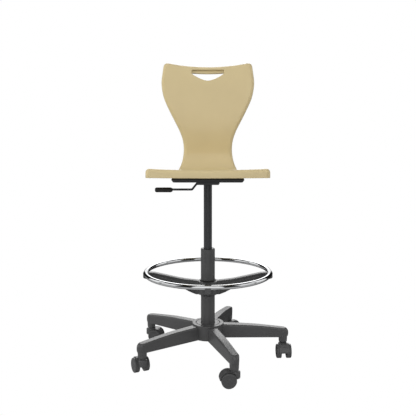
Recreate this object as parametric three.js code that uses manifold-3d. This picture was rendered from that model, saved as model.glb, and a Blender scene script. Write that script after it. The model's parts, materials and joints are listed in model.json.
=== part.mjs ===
// Draughtsman-height swivel stool: a moulded shell on a gas lift, a five-arm base on castors and a foot ring.
// Millimetres, +Z up. The origin is on the floor, on the axis of the column. The sitter faces -Y.
import * as THREE from "three";
import { mergeVertices } from "three/addons/utils/BufferGeometryUtils.js";
import Module from "manifold-3d";

const wasm = await Module();
wasm.setup();

// Clearances
const seatGap = 0.3; // between faces that rest on each other
const runningGap = 0.08; // round a shaft that turns or slides in its bore
const cutOverrun = 2; // how far a cutting solid runs past the face it opens
const mergeReach = 0.0001; // corners closer than this are one corner

// Castors
const castor = {
  wheelRadius: 25,
  wheelWidth: 17.5,
  wheelGap: 19, // clear width between the two wheels
  wheelEdgeRound: 3,
  wheelRimWidth: 3.6, // raised rim round the recessed outer face
  wheelFaceDepth: 0.8,
  wheelBoreDepth: 11,
  wheelHubRadius: 9,
  wheelHubStand: 0.3, // the hub's inner end stands this far out of the wheel
  trail: 19.4, // from the stem's axis back to the axle
  axleRadius: 4,
  hoodWidth: 36,
  hoodWall: 2.3,
  hoodGap: 1, // from the wheel to the hood
  webSideGap: 0.5, // from the web to a wheel's inner face
  axleBossRadius: 6.5,
  bossSteps: 4,
  noseRadius: 15.4,
  noseReach: 19.9,
  noseBottom: 26,
  noseHeight: 24,
  noseEdge: 3.5,
  fenderSteps: 5,
  fenderDegrees: [0, 128], // from level behind the axle, over the top
  stemBossRadius: 12.5,
  stemBossEdge: 1.5,
  stemRadius: 5.5,
  stemDepth: 15, // length of stem held in the hood
  stemHeight: 41, // length of stem above the hood
  stemTip: 1.2,
  stemRingRadius: 11,
  stemRingHeight: 0.9,
  neckGap: 1.5, // from the hood's top to the socket
};
const hoodTop = castor.wheelRadius * 2 + castor.hoodGap + castor.hoodWall;

// Base
const base = {
  castorCircleRadius: 272,
  hubRadius: 57,
  hubHeight: 54,
  hubDrop: 1.7, // hub's lower rim below the arms' underside
  hubEdge: 1.5,
  hubWall: 4,
  hubRoof: 9,
  grooveRadius: 42.6,
  grooveWidth: 3,
  grooveDepth: 2.2,
  armRootRadius: 40, // where the arms start, inside the hub
  armRootHeight: 48.3,
  armMiddleRadius: 158,
  armMiddleHeight: 44,
  armRootWidth: 35,
  armTipWidth: 29,
  armShoulder: 6, // rounded upper edges
  armWall: 3.2,
  armRoof: 5,
  armRibs: 3,
  armRibWidth: 3,
  noseReach: 20, // from the stem's axis to the end of the arm
  noseDrop: 12.7, // nose centre above the underside
  nosePlanShare: 0.84, // width of the nose's plan to its length
  noseSteps: 5,
  armTopSteps: 6,
  shoulderSteps: 2,
  neckLength: 18.9,
  neckTopRadius: 15.5,
  neckFootRadius: 14.8,
  neckEdge: 1,
  socketHeadroom: 1.5, // above the stem's top
  arms: 5,
  hubRibs: 5,
};
const neckFoot = hoodTop + castor.neckGap;
const armUnderside = neckFoot + base.neckLength;
const hubBottom = armUnderside - base.hubDrop;
const hubTop = hubBottom + base.hubHeight;

// Column
const column = {
  tubeRadius: 25,
  tubeWall: 2.4,
  tubeLength: 324,
  tubeRise: 1, // tube's lower end above the hub's lower rim
  tubeFootRadius: 24.3, // the lower end tapers into the hub
  tubeFootPlate: 3,
  tubeMouthRound: 1,
  sleeveWall: 4.5,
  sleeveTopGap: 4, // from the sleeve's top to the hub's top face
  bushLength: 80,
  bushFlange: 0.9,
  cylinderRadius: 14.6,
  cylinderWall: 2,
  cylinderOverlap: 72, // length of cylinder inside the tube, seat raised
  cylinderExposed: 230.5, // tube mouth to housing, seat raised
  cylinderHead: 32, // metal above the bore
  cylinderEntry: 10.5, // cylinder's top above the housing's underside
  taperLength: 11,
  taperRadius: 13.9,
  guideLength: 21,
  rodRadius: 5,
  rodShoulderRadius: 9,
  rodShoulderLength: 4,
  rodTail: 5, // rod below the tube's foot plate
  pistonRadius: 12.2,
  pistonLength: 14,
  pistonLead: 5, // from the guide up to the piston, seat raised
  clipWidth: 3.5,
  clipThickness: 1.4,
  clipOpening: 4,
  raceRadius: 15,
  raceThickness: 2,
  cageThickness: 3,
  bumperRadius: 12.6,
  bumperLength: 32,
  bumperEdge: 2,
};
const tubeBottom = hubBottom + column.tubeRise;
const tubeTop = tubeBottom + column.tubeLength;
const cylinderBottom = tubeTop - column.cylinderOverlap;
const housingBottom = tubeTop + column.cylinderExposed;
const cylinderTop = housingBottom + column.cylinderEntry;
const footPlateTop = tubeBottom + column.tubeFootPlate;
const lowerRaceTop = footPlateTop + seatGap + column.raceThickness;
const cageTop = lowerRaceTop + seatGap + column.cageThickness;
const upperRaceTop = cageTop + seatGap + column.raceThickness;
const shoulderBottom = upperRaceTop + seatGap;
const shoulderTop = shoulderBottom + column.rodShoulderLength;
const guideTop = cylinderBottom + seatGap + column.guideLength;

// Mechanism and lever
const mechanism = {
  plateWidth: 243,
  plateFront: 100, // from the axis forwards
  plateBack: 92,
  plateHeight: 15.8,
  plateWall: 2.6,
  plateTipHeight: 9, // the edge's tip above the plate's underside
  plateTipBand: 1.6,
  plateTopRun: 3.6, // the bevel above the tip runs in this far
  plateFootRun: 6.4, // and the one below it
  plateCorner: 14,
  housingWidth: 80,
  housingFront: 62,
  housingBack: 58,
  housingDrop: 11.7, // below the plate
  housingWall: 2.6,
  housingBevel: 4,
  socketRadius: 18,
  socketFlangeRadius: 20.8,
  socketFlangeHeight: 2.6,
  socketHeight: 12,
  earWidth: 8,
  earThickness: 2.6,
  earSpacing: 14.6, // clear width between the ears
  earRise: 4, // above the pivot's centre
  pinRadius: 2,
  pinHeadRadius: 3.4,
  pinHeadLength: 1.2,
  valvePinRadius: 3,
  valvePinLength: 28,
  valveHeadRadius: 4.5,
  valveHeadHeight: 2.4,
  valveHeadLift: 2.4, // travel of the release pin
};
const plateBottom = housingBottom + mechanism.housingDrop;
const plateTop = plateBottom + mechanism.plateHeight;
const skinBottom = plateTop - mechanism.plateWall;
const valveHeadBottom = cylinderTop + mechanism.valveHeadLift;
const valveHeadTop = valveHeadBottom + mechanism.valveHeadHeight;

const lever = {
  rodRadius: 3.5,
  pivotOffset: 23.3, // pivot to the left of the axis
  tipReach: 2.2, // rod's inner end past the axis
  barrelRadius: 5,
  barrelLength: 14,
  gripCentreDrop: 21.7, // rod's outer run below the housing
  bendOffset: 55.6,
  bendRun: 4, // length of rod taken up by a bend on either side of its corner
  gripStart: 124.3,
  gripLength: 62.5,
  gripRadius: 9,
  gripNeckRadius: 6,
  gripRound: 6,
  gripTaper: 6,
  gripBoreDepth: 53,
  slotWidth: 11,
  slotHeight: 13,
  slotReach: 14,
};
const pivotHeight = valveHeadTop + seatGap + lever.rodRadius;
const gripHeight = housingBottom - lever.gripCentreDrop;

// Foot ring
const ring = {
  height: 311,
  radius: 220,
  tubeRadius: 8.3,
  hubRadius: 37,
  hubHeight: 48,
  hubTopDrop: 31, // hub's upper rim below the ring's centre
  hubEdge: 2.5,
  arms: 4,
  armWidth: 20,
  armRoot: 33, // where the arms start, inside the hub's wall
  armDrop: 80, // arm's lowest edge below the ring's centre
  armFlange: 3.2,
  armRecess: 6,
  recessGap: 5, // from the hub to the recess
  recessEndGap: 16, // from the recess to the ring's centre line
  ribHeight: 2.2,
  ribDepth: 2.4, // ribs' faces below the arm's side
  hookReach: 10.8, // past the ring's centre line
  hookLipRound: 1.2,
  hookDrop: 22, // hook's outer foot below the ring's centre
  hookRound: 5,
  troughSteps: 8,
  recessSteps: 4,
  colletWall: 3.1,
  colletGap: 0.4,
  colletStand: 4, // collet above and below the hub
  colletSlit: 3,
  slitDegrees: 45,
  screwRadius: 2.5,
  screwHeadRadius: 4.6,
  screwHeadHeight: 3,
  screwHeadDepth: 20, // head's seat below the ring's centre
  screwBite: 5,
};
const carrierTop = ring.height - ring.hubTopDrop;
const carrierBottom = carrierTop - ring.hubHeight;

// Seat shell
const shell = {
  frontReach: 200, // from the axis to the front edge
  depth: 415,
  rise: 417, // from the plate's top to the top corners
  halfWidth: 200,
  wall: 5,
  rimRadius: 13,
  rimFlange: 12.8, // past the rim's round, along the front
  rimSideFlange: 8, // and along the sides and the top
  footLevelShare: 0.75, // how much of the saddle the rim's foot leaves out
  cornerRadius: 14,
  topCornerRadius: 17,
  saddle: 6, // seat's sides above its middle
  backWrap: 10, // back's sides in front of its middle
  topSag: 16.5, // top edge's middle below its corners
  slotHalfWidth: 61,
  slotTopDrop: 12.4, // slot's upper edge below the top edge's middle
  slotBandHeight: 12.6,
  slotSmileDrop: 29.7,
  slotCorner: 5,
  slotCutFront: 26,
  slotCutBack: 3,
  lipHalfWidth: 72,
  lipDepth: 12.5, // lip's front behind the sitter's face
  lipWall: 4,
  lipRoot: 0.4, // lip's root below the rim's top
  lipDrop: 26.2, // and its lower edge
  bossRadius: 9,
  bossHoleDepth: 9,
  bossSpreadX: 75,
  bossSpreadY: 60,
  screwRadius: 3,
  screwLength: 10.6,
  screwHeadRadius: 6,
  screwHeadHeight: 3,
};

// Numbers of flat sides on round pieces
const hubSides = 32;
const roundSides = 24;
const smallSides = 16;
const rodSides = 12;
const wheelSides = 20;
const ringSides = 40;
const cornerSteps = 3; // steps round a rounded corner

// Materials, one for each finish
function finish(color, roughness, metalness) {
  return new THREE.MeshStandardMaterial({ color, roughness, metalness });
}
const beigePlastic = () => finish(0xc8b892, 0.48, 0);
const charcoalPlastic = () => finish(0x47474a, 0.55, 0);
const wheelPlastic = () => finish(0x454547, 0.5, 0);
const blackPlastic = () => finish(0x232220, 0.5, 0);
const blackPaint = () => finish(0x2b2c2e, 0.42, 0.3);
const charcoalPaint = () => finish(0x48484a, 0.42, 0.3);
const chromeFinish = () => finish(0xd8dadc, 0.06, 1);
const steelFinish = () => finish(0x9a9c9e, 0.3, 1);
const rubberFinish = () => finish(0x1c1c1c, 0.85, 0);

// Solids: a closed geometry becomes a solid that can be cut and joined
function solidOf(geometry) {
  const bare = geometry.clone();
  bare.deleteAttribute("normal");
  bare.deleteAttribute("uv");
  const merged = mergeVertices(bare, mergeReach);
  const corners = merged.index.array;
  const kept = [];
  for (let i = 0; i < corners.length; i += 3) {
    const [a, b, c] = [corners[i], corners[i + 1], corners[i + 2]];
    if (a !== b && b !== c && c !== a) kept.push([a, b, c]);
  }
  const vertProperties = merged.attributes.position.array;
  const make = (triangles) => {
    const triVerts = new Uint32Array(triangles.flat());
    return new wasm.Manifold(new wasm.Mesh({ numProp: 3, vertProperties, triVerts }));
  };
  const made = make(kept);
  return made.volume() > 0 ? made : make(kept.map(([a, b, c]) => [a, c, b]));
}

function geometryOf(solid) {
  const mesh = solid.getMesh();
  const geometry = new THREE.BufferGeometry();
  geometry.setAttribute("position", new THREE.BufferAttribute(new Float32Array(mesh.vertProperties), 3));
  geometry.setIndex(new THREE.BufferAttribute(new Uint32Array(mesh.triVerts), 1));
  const flat = geometry.toNonIndexed();
  flat.computeVertexNormals();
  return flat;
}

function joined(solids) {
  return wasm.Manifold.union(solids);
}

function spun(solid, degrees) {
  return solid.rotate([0, 0, degrees]);
}

// The same solid at each of a number of even turns about Z
function repeated(solid, count) {
  return Array.from({ length: count }, (_, i) => spun(solid, (i * 360) / count));
}

// A turned solid about Z from [radius, height] pairs, closed on itself where it starts off the axis
function turned(profile, sides) {
  const points = profile.map(([radius, height]) => new THREE.Vector2(radius, height));
  if (profile[0][0] > 0) points.push(points[0].clone());
  return solidOf(new THREE.LatheGeometry(points, sides).rotateX(Math.PI / 2));
}

function disc(radius, low, high, sides) {
  return turned([[0, low], [radius, low], [radius, high], [0, high]], sides);
}

function tube(inner, outer, low, high, sides) {
  return turned([[inner, low], [outer, low], [outer, high], [inner, high]], sides);
}

// The radius of a many-sided bore whose flats clear a shaft
function boreRadius(shaftRadius, clearance, sides) {
  return (shaftRadius + clearance) / Math.cos(Math.PI / sides);
}

function box(low, high) {
  const size = high.map((value, axis) => value - low[axis]);
  const middle = high.map((value, axis) => (value + low[axis]) / 2);
  return solidOf(new THREE.BoxGeometry(...size).translate(...middle));
}

// A flat outline in X and Z, extruded along Y between two planes
function slabGeometry(outline, from, to) {
  const shape = new THREE.Shape(outline.map(([x, z]) => new THREE.Vector2(x, z)));
  const geometry = new THREE.ExtrudeGeometry(shape, { depth: to - from, bevelEnabled: false });
  return geometry.rotateX(Math.PI / 2).translate(0, to, 0);
}

function slab(outline, from, to) {
  return solidOf(slabGeometry(outline, from, to));
}

// A round rod along Y
function crossRod(radius, from, to, x, z, sides) {
  const geometry = new THREE.CylinderGeometry(radius, radius, to - from, sides);
  return solidOf(geometry.translate(x, (from + to) / 2, z));
}

// An arc of points about a centre
function arc([centreX, centreZ], [radiusX, radiusZ], startDegrees, endDegrees, steps) {
  return Array.from({ length: steps + 1 }, (_, i) => {
    const angle = THREE.MathUtils.degToRad(mix(startDegrees, endDegrees, i / steps));
    return [centreX + radiusX * Math.cos(angle), centreZ + radiusZ * Math.sin(angle)];
  });
}

function mix(a, b, share) {
  return a + (b - a) * share;
}

// Height of a line through [reach, height] points
function heightAt(points, reach) {
  const i = Math.max(points.findIndex(([x]) => x >= reach), 1);
  const [lowX, lowZ] = points[i - 1];
  const [highX, highZ] = points[i];
  return mix(lowZ, highZ, (reach - lowX) / (highX - lowX));
}

// A solid through a row of like sections, closed at both ends
function lofted(sections) {
  const count = sections[0].length;
  const positions = sections.flatMap((section) => section.flatMap((point) => point.toArray()));
  const indices = [];
  for (let i = 1; i < sections.length; i += 1) {
    for (let j = 0; j < count; j += 1) {
      const next = (j + 1) % count;
      const [a, b] = [(i - 1) * count + j, (i - 1) * count + next];
      const [c, d] = [i * count + next, i * count + j];
      indices.push(a, b, c, a, c, d);
    }
  }
  const last = (sections.length - 1) * count;
  for (let j = 1; j < count - 1; j += 1) {
    indices.push(0, j + 1, j, last, last + j, last + j + 1);
  }
  return solidOf(meshed(positions, indices));
}

function meshed(positions, indices) {
  const geometry = new THREE.BufferGeometry();
  geometry.setAttribute("position", new THREE.BufferAttribute(new Float32Array(positions), 3));
  geometry.setIndex(indices);
  return geometry;
}

// Castors are built with the stem on the Z axis and the axle behind it, towards +X
const axleCentre = [castor.trail, castor.wheelRadius];
const webHalf = castor.wheelGap / 2 - castor.webSideGap;

function castorHood() {
  const fenderOuter = castor.wheelRadius + castor.hoodGap + castor.hoodWall;
  const fenderInner = castor.wheelRadius + castor.hoodGap;
  const noseTop = castor.noseBottom + castor.noseHeight;
  const nose = turned([
    [0, castor.noseBottom],
    [castor.noseRadius - castor.noseEdge, castor.noseBottom],
    [castor.noseRadius, castor.noseBottom + castor.noseEdge],
    [castor.noseRadius, noseTop - castor.noseEdge],
    [castor.noseRadius - castor.noseEdge, noseTop],
    [0, noseTop],
  ], rodSides).translate([castor.noseRadius - castor.noseReach, 0, 0]);
  const boss = turned([
    [0, castor.wheelRadius],
    [castor.stemBossRadius, castor.wheelRadius],
    [castor.stemBossRadius, hoodTop - castor.stemBossEdge],
    [castor.stemBossRadius - castor.stemBossEdge, hoodTop],
    [0, hoodTop],
  ], smallSides);
  const fenderArc = (radius, start, end) => arc(axleCentre, [radius, radius], start, end, castor.fenderSteps);
  const [fenderStart, fenderEnd] = castor.fenderDegrees;
  const fender = slab(
    [...fenderArc(fenderOuter, fenderStart, fenderEnd), ...fenderArc(fenderInner, fenderEnd, fenderStart)],
    -castor.hoodWidth / 2,
    castor.hoodWidth / 2,
  );
  const [axleX, axleZ] = axleCentre;
  const webRadius = (fenderOuter + fenderInner) / 2;
  const web = slab([
    ...fenderArc(webRadius, fenderStart, fenderEnd),
    [-castor.noseRadius / 2, castor.noseBottom + castor.noseEdge],
    [castor.noseRadius / 2, castor.noseBottom + castor.noseEdge],
    ...arc(axleCentre, [castor.axleBossRadius, castor.axleBossRadius], 200, 350, castor.bossSteps),
  ], -webHalf, webHalf);
  const past = castor.hoodWidth;
  const room = [-1, 1].map((side) => {
    const [from, to] = [side * webHalf, side * past].sort((a, b) => a - b);
    return crossRod(fenderInner, from, to, axleX, axleZ, wheelSides);
  });
  const axleRoom = boreRadius(castor.axleRadius, runningGap, rodSides);
  const axleBore = crossRod(axleRoom, -past, past, axleX, axleZ, rodSides);
  const stemBore = disc(
    boreRadius(castor.stemRadius, runningGap, smallSides),
    hoodTop - castor.stemDepth - seatGap,
    hoodTop + cutOverrun,
    smallSides,
  );
  const blank = joined([nose, boss]).subtract(joined(room));
  return joined([blank, fender, web]).subtract(joined([axleBore, stemBore]));
}

function castorStem() {
  const bottom = hoodTop - castor.stemDepth;
  const ringBottom = hoodTop + seatGap;
  const ringTop = ringBottom + castor.stemRingHeight;
  const top = hoodTop + castor.stemHeight;
  return turned([
    [0, bottom],
    [castor.stemRadius, bottom],
    [castor.stemRadius, ringBottom],
    [castor.stemRingRadius, ringBottom],
    [castor.stemRingRadius, ringTop],
    [castor.stemRadius, ringTop],
    [castor.stemRadius, top - castor.stemTip],
    [castor.stemRadius - castor.stemTip, top],
    [0, top],
  ], rodSides);
}

function castorAxle() {
  const half = castor.wheelGap / 2 + castor.wheelBoreDepth - seatGap;
  const [axleX, axleZ] = axleCentre;
  return crossRod(castor.axleRadius, -half, half, axleX, axleZ, rodSides);
}

// A wheel on the +Y side of the castor, its recessed face outwards
function castorWheel() {
  const width = castor.wheelWidth;
  const bore = boreRadius(castor.axleRadius, runningGap, wheelSides);
  const rimInner = castor.wheelRadius - castor.wheelEdgeRound - castor.wheelRimWidth;
  const wheel = turned([
    [0, castor.wheelBoreDepth],
    [bore, castor.wheelBoreDepth],
    [bore, -castor.wheelHubStand],
    [castor.wheelHubRadius, -castor.wheelHubStand],
    [castor.wheelHubRadius, 0],
    [castor.wheelRadius, 0],
    [castor.wheelRadius, width - castor.wheelEdgeRound],
    [castor.wheelRadius - castor.wheelEdgeRound, width],
    [rimInner, width],
    [rimInner - castor.wheelFaceDepth, width - castor.wheelFaceDepth],
    [0, width - castor.wheelFaceDepth],
  ], wheelSides);
  const [axleX, axleZ] = axleCentre;
  return wheel.rotate([-90, 0, 0]).translate([axleX, castor.wheelGap / 2, axleZ]);
}

// The castors, each under an arm and turned its own way
const castors = [
  { name: "castor_1", arm: -144, heading: 116.6 },
  { name: "castor_2", arm: 144, heading: -14 },
  { name: "castor_3", arm: 72, heading: -47 },
  { name: "castor_4", arm: 0, heading: -88 },
  { name: "castor_5", arm: -72, heading: 187 },
];

function underArm(solid, { arm, heading }) {
  return spun(spun(solid, heading - arm).translate([base.castorCircleRadius, 0, 0]), arm);
}

// The arms' upper edge, from the hub to the socket, seen from the side
function armTopEdge() {
  const points = [
    new THREE.Vector2(base.armRootRadius, armUnderside + base.armRootHeight),
    new THREE.Vector2(base.armMiddleRadius, armUnderside + base.armMiddleHeight),
    new THREE.Vector2(base.castorCircleRadius, armUnderside + base.noseDrop + base.noseReach),
  ];
  return new THREE.SplineCurve(points).getPoints(base.armTopSteps).map(({ x, y }) => [x, y]);
}
const armTop = armTopEdge();

function armWidthShare(reach) {
  const run = (reach - base.hubRadius) / (base.castorCircleRadius - base.hubRadius);
  return mix(base.armRootWidth, base.armTipWidth, run) / base.armRootWidth;
}

// Narrows a geometry drawn at the arm's root width towards the arm's tip
function tapered(geometry) {
  const position = geometry.attributes.position;
  for (let i = 0; i < position.count; i += 1) {
    position.setY(i, position.getY(i) * armWidthShare(position.getX(i)));
  }
  return solidOf(geometry);
}

function baseArm() {
  const shoulder = base.armShoulder;
  const foot = armUnderside - shoulder * 2;
  const noseCentre = [base.castorCircleRadius, armUnderside + base.noseDrop];
  const nose = arc(noseCentre, [base.noseReach, base.noseReach], 90, -35, base.noseSteps).slice(1);
  const noseEnd = nose[nose.length - 1][0];
  const outline = [[base.armRootRadius, foot], ...armTop, ...nose, [noseEnd, foot]];
  const shape = new THREE.Shape(outline.map(([x, z]) => new THREE.Vector2(x, z)));
  const geometry = new THREE.ExtrudeGeometry(shape, {
    depth: base.armRootWidth - shoulder * 2,
    bevelThickness: shoulder,
    bevelSize: shoulder,
    bevelOffset: -shoulder,
    bevelSegments: base.shoulderSteps,
  });
  geometry.rotateX(Math.PI / 2).translate(0, base.armRootWidth / 2 - shoulder, 0);
  const plan = joined([
    box([0, -base.armRootWidth, 0], [base.castorCircleRadius, base.armRootWidth, hubTop + cutOverrun]),
    disc(base.noseReach, 0, hubTop + cutOverrun, smallSides)
      .scale([1, base.nosePlanShare, 1])
      .translate([base.castorCircleRadius, 0, 0]),
  ]);
  return tapered(geometry).trimByPlane([0, 0, 1], armUnderside).intersect(plan);
}

// The hollow under an arm, with cross ribs left standing in it
function armPocket() {
  const start = base.hubRadius;
  const end = base.castorCircleRadius - base.neckTopRadius - base.armWall;
  const foot = armUnderside - cutOverrun;
  const half = base.armRootWidth / 2 - base.armWall;
  const roofAt = (reach) => heightAt(armTop, reach) - base.armRoof;
  const between = armTop.filter(([x]) => x > start && x < end).map(([x]) => [x, roofAt(x)]);
  const outline = [[start, foot], [start, roofAt(start)], ...between, [end, roofAt(end)], [end, foot]];
  const pocket = tapered(slabGeometry(outline, -half, half));
  const ribs = Array.from({ length: base.armRibs }, (_, i) => {
    const x = mix(start, end, (i + 1) / (base.armRibs + 1));
    const ribHalf = base.armRibWidth / 2;
    return box([x - ribHalf, -base.armRootWidth, foot], [x + ribHalf, base.armRootWidth, hubTop]);
  });
  return pocket.subtract(joined(ribs));
}

function socketNeck() {
  const top = armUnderside + base.noseDrop * 2;
  return turned([
    [0, neckFoot],
    [base.neckFootRadius - base.neckEdge, neckFoot],
    [base.neckFootRadius, neckFoot + base.neckEdge],
    [base.neckTopRadius, armUnderside],
    [base.neckTopRadius, top],
    [0, top],
  ], smallSides).translate([base.castorCircleRadius, 0, 0]);
}

function socketBore() {
  const radius = boreRadius(castor.stemRadius, runningGap, smallSides);
  const top = hoodTop + castor.stemHeight + base.socketHeadroom;
  return disc(radius, neckFoot - cutOverrun, top, smallSides).translate([base.castorCircleRadius, 0, 0]);
}

const sleeveTop = hubTop - column.sleeveTopGap;
const sleeveOuter = column.tubeRadius + seatGap + column.sleeveWall;

function baseHub() {
  const seat = boreRadius(sleeveOuter, seatGap, hubSides);
  const mouth = boreRadius(column.tubeRadius, seatGap, hubSides);
  const groove = base.grooveWidth / 2;
  return turned([
    [seat, hubBottom],
    [base.hubRadius - base.hubEdge, hubBottom],
    [base.hubRadius, hubBottom + base.hubEdge],
    [base.hubRadius, hubTop - base.hubEdge],
    [base.hubRadius - base.hubEdge, hubTop],
    [base.grooveRadius + groove, hubTop],
    [base.grooveRadius, hubTop - base.grooveDepth],
    [base.grooveRadius - groove, hubTop],
    [mouth, hubTop],
    [mouth, sleeveTop + seatGap],
    [seat, sleeveTop + seatGap],
  ], hubSides);
}

// The ring-shaped hollow under the hub, with ribs left standing in it
function hubHollow() {
  const foot = hubBottom - cutOverrun;
  const roof = hubTop - base.hubRoof;
  const inner = sleeveOuter + base.hubWall;
  const hollow = tube(inner, base.hubRadius - base.hubWall, foot, roof, hubSides);
  const rib = box([0, -base.armRibWidth / 2, foot], [base.hubRadius, base.armRibWidth / 2, roof]);
  return hollow.subtract(joined(repeated(spun(rib, 180 / base.hubRibs), base.hubRibs)));
}

function baseStar() {
  const arms = repeated(joined([baseArm(), socketNeck()]), base.arms);
  const core = disc(sleeveOuter + base.hubWall / 2, 0, hubTop, hubSides);
  const blank = joined([baseHub(), joined(arms).subtract(core)]);
  const cuts = [...repeated(armPocket(), base.arms), ...repeated(socketBore(), base.arms), hubHollow()];
  return blank.subtract(joined(cuts));
}

function hubSleeve() {
  const foot = tubeBottom + column.tubeRise;
  const footBore = boreRadius(column.tubeFootRadius, seatGap, roundSides);
  const topBore = boreRadius(column.tubeRadius, seatGap / 2, roundSides);
  return turned([
    [footBore, foot],
    [sleeveOuter, foot],
    [sleeveOuter, sleeveTop],
    [topBore, sleeveTop],
  ], roundSides);
}

// Column
function standpipe() {
  const inner = column.tubeRadius - column.tubeWall;
  const rodHole = boreRadius(column.rodRadius, runningGap, roundSides);
  return turned([
    [rodHole, tubeBottom],
    [column.tubeFootRadius, tubeBottom],
    [column.tubeRadius, sleeveTop],
    [column.tubeRadius, tubeTop - column.tubeMouthRound],
    [column.tubeRadius - column.tubeMouthRound, tubeTop],
    [inner, tubeTop],
    [inner, footPlateTop],
    [rodHole, footPlateTop],
  ], roundSides);
}

function columnBush() {
  const inner = boreRadius(column.cylinderRadius, runningGap, roundSides);
  const outer = (column.tubeRadius - column.tubeWall) * Math.cos(Math.PI / roundSides) - seatGap;
  const flangeBottom = tubeTop + seatGap;
  const flangeRadius = column.tubeRadius - column.tubeMouthRound;
  return turned([
    [inner, tubeTop - column.bushLength],
    [outer, tubeTop - column.bushLength],
    [outer, flangeBottom],
    [flangeRadius, flangeBottom],
    [flangeRadius, flangeBottom + column.bushFlange],
    [inner, flangeBottom + column.bushFlange],
  ], roundSides);
}

function bearingPlate(top, thickness) {
  const inner = boreRadius(column.rodRadius, seatGap, smallSides);
  return tube(inner, column.raceRadius, top - thickness, top, smallSides);
}

function rodBumper() {
  const bottom = shoulderTop + seatGap;
  const inner = boreRadius(column.rodRadius, seatGap, smallSides);
  const outer = column.bumperRadius;
  const edge = column.bumperEdge;
  const top = bottom + column.bumperLength;
  return turned([
    [inner, bottom],
    [outer, bottom],
    [outer, top - edge],
    [outer - edge, top],
    [inner, top],
  ], smallSides);
}

function retainingClip() {
  const top = tubeBottom - seatGap;
  const inner = boreRadius(column.rodRadius, runningGap, smallSides);
  const bottom = top - column.clipThickness;
  const outer = inner + column.clipWidth;
  const opening = column.clipOpening / 2;
  const gap = box([0, -opening, bottom - cutOverrun], [outer + cutOverrun, opening, top + cutOverrun]);
  return tube(inner, outer, bottom, top, smallSides).subtract(gap);
}

function pistonRod() {
  const tail = tubeBottom - column.rodTail;
  const pistonBottom = guideTop + column.pistonLead;
  const pistonTop = pistonBottom + column.pistonLength;
  return turned([
    [0, tail],
    [column.rodRadius, tail],
    [column.rodRadius, shoulderBottom],
    [column.rodShoulderRadius, shoulderBottom],
    [column.rodShoulderRadius, shoulderTop],
    [column.rodRadius, shoulderTop],
    [column.rodRadius, pistonBottom],
    [column.pistonRadius, pistonBottom],
    [column.pistonRadius, pistonTop],
    [0, pistonTop],
  ], smallSides);
}

const cylinderBore = column.cylinderRadius - column.cylinderWall;

function gasCylinder() {
  const pinBore = boreRadius(mechanism.valvePinRadius, runningGap, roundSides);
  const boreTop = cylinderTop - column.cylinderHead;
  return turned([
    [cylinderBore, cylinderBottom],
    [column.cylinderRadius, cylinderBottom],
    [column.cylinderRadius, cylinderTop - column.taperLength],
    [column.taperRadius, cylinderTop],
    [pinBore, cylinderTop],
    [pinBore, boreTop],
    [cylinderBore, boreTop],
  ], roundSides);
}

function rodGuide() {
  const inner = boreRadius(column.rodRadius, runningGap, roundSides);
  const outer = cylinderBore * Math.cos(Math.PI / roundSides) - runningGap;
  return tube(inner, outer, guideTop - column.guideLength, guideTop, roundSides);
}

function releasePin() {
  return turned([
    [0, valveHeadBottom - mechanism.valvePinLength],
    [mechanism.valvePinRadius, valveHeadBottom - mechanism.valvePinLength],
    [mechanism.valvePinRadius, valveHeadBottom],
    [mechanism.valveHeadRadius, valveHeadBottom],
    [mechanism.valveHeadRadius, valveHeadTop],
    [0, valveHeadTop],
  ], smallSides);
}

// Mechanism
const floorTop = housingBottom + mechanism.housingWall;

function taperSocket() {
  const bottom = housingBottom + seatGap;
  const top = bottom + mechanism.socketHeight;
  const flangeBottom = floorTop + seatGap;
  const flangeTop = flangeBottom + mechanism.socketFlangeHeight;
  const taperFoot = boreRadius(column.cylinderRadius, runningGap, roundSides);
  const taperHead = boreRadius(column.taperRadius, runningGap, roundSides);
  return turned([
    [taperFoot, bottom],
    [mechanism.socketRadius, bottom],
    [mechanism.socketRadius, flangeBottom],
    [mechanism.socketFlangeRadius, flangeBottom],
    [mechanism.socketFlangeRadius, flangeTop],
    [mechanism.socketRadius, flangeTop],
    [mechanism.socketRadius, top],
    [taperHead, top],
    [taperHead, cylinderTop],
  ], roundSides);
}

function mechanismHousing() {
  const half = mechanism.housingWidth / 2;
  const wall = mechanism.housingWall;
  const bevel = mechanism.housingBevel;
  const top = skinBottom - seatGap;
  const section = (inset, head) => [
    [inset - half, housingBottom + inset],
    [half - bevel, housingBottom + inset],
    [half - inset, housingBottom + bevel],
    [half - inset, head],
    [inset - half, head],
  ];
  const blank = slab(section(0, top), -mechanism.housingFront, mechanism.housingBack);
  const room = slab(
    section(wall, top + cutOverrun),
    wall - mechanism.housingFront,
    mechanism.housingBack - wall,
  );
  const innerFace = mechanism.earSpacing / 2;
  const outerFace = innerFace + mechanism.earThickness;
  const earHalf = mechanism.earWidth / 2;
  const earBottom = housingBottom + wall / 2;
  const earTop = pivotHeight + mechanism.earRise;
  const ears = [[-outerFace, -innerFace], [innerFace, outerFace]].map(([from, to]) => box(
    [-lever.pivotOffset - earHalf, from, earBottom],
    [-lever.pivotOffset + earHalf, to, earTop],
  ));
  const pinBore = boreRadius(mechanism.pinRadius, runningGap, rodSides);
  const pinReach = outerFace + cutOverrun;
  const slotHalf = lever.slotWidth / 2;
  return joined([blank.subtract(room), ...ears]).subtract(joined([
    crossRod(pinBore, -pinReach, pinReach, -lever.pivotOffset, pivotHeight, rodSides),
    disc(
      boreRadius(mechanism.socketRadius, seatGap, roundSides),
      housingBottom - cutOverrun,
      floorTop + cutOverrun / 2,
      roundSides,
    ),
    box(
      [-half - cutOverrun, -slotHalf, housingBottom - cutOverrun],
      [lever.slotReach - half, slotHalf, floorTop + lever.slotHeight],
    ),
  ]));
}

const screwPlaces = [[-1, -1], [1, -1], [1, 1], [-1, 1]].map(([sideX, sideY]) => [
  sideX * shell.bossSpreadX,
  sideY * shell.bossSpreadY,
]);

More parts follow.
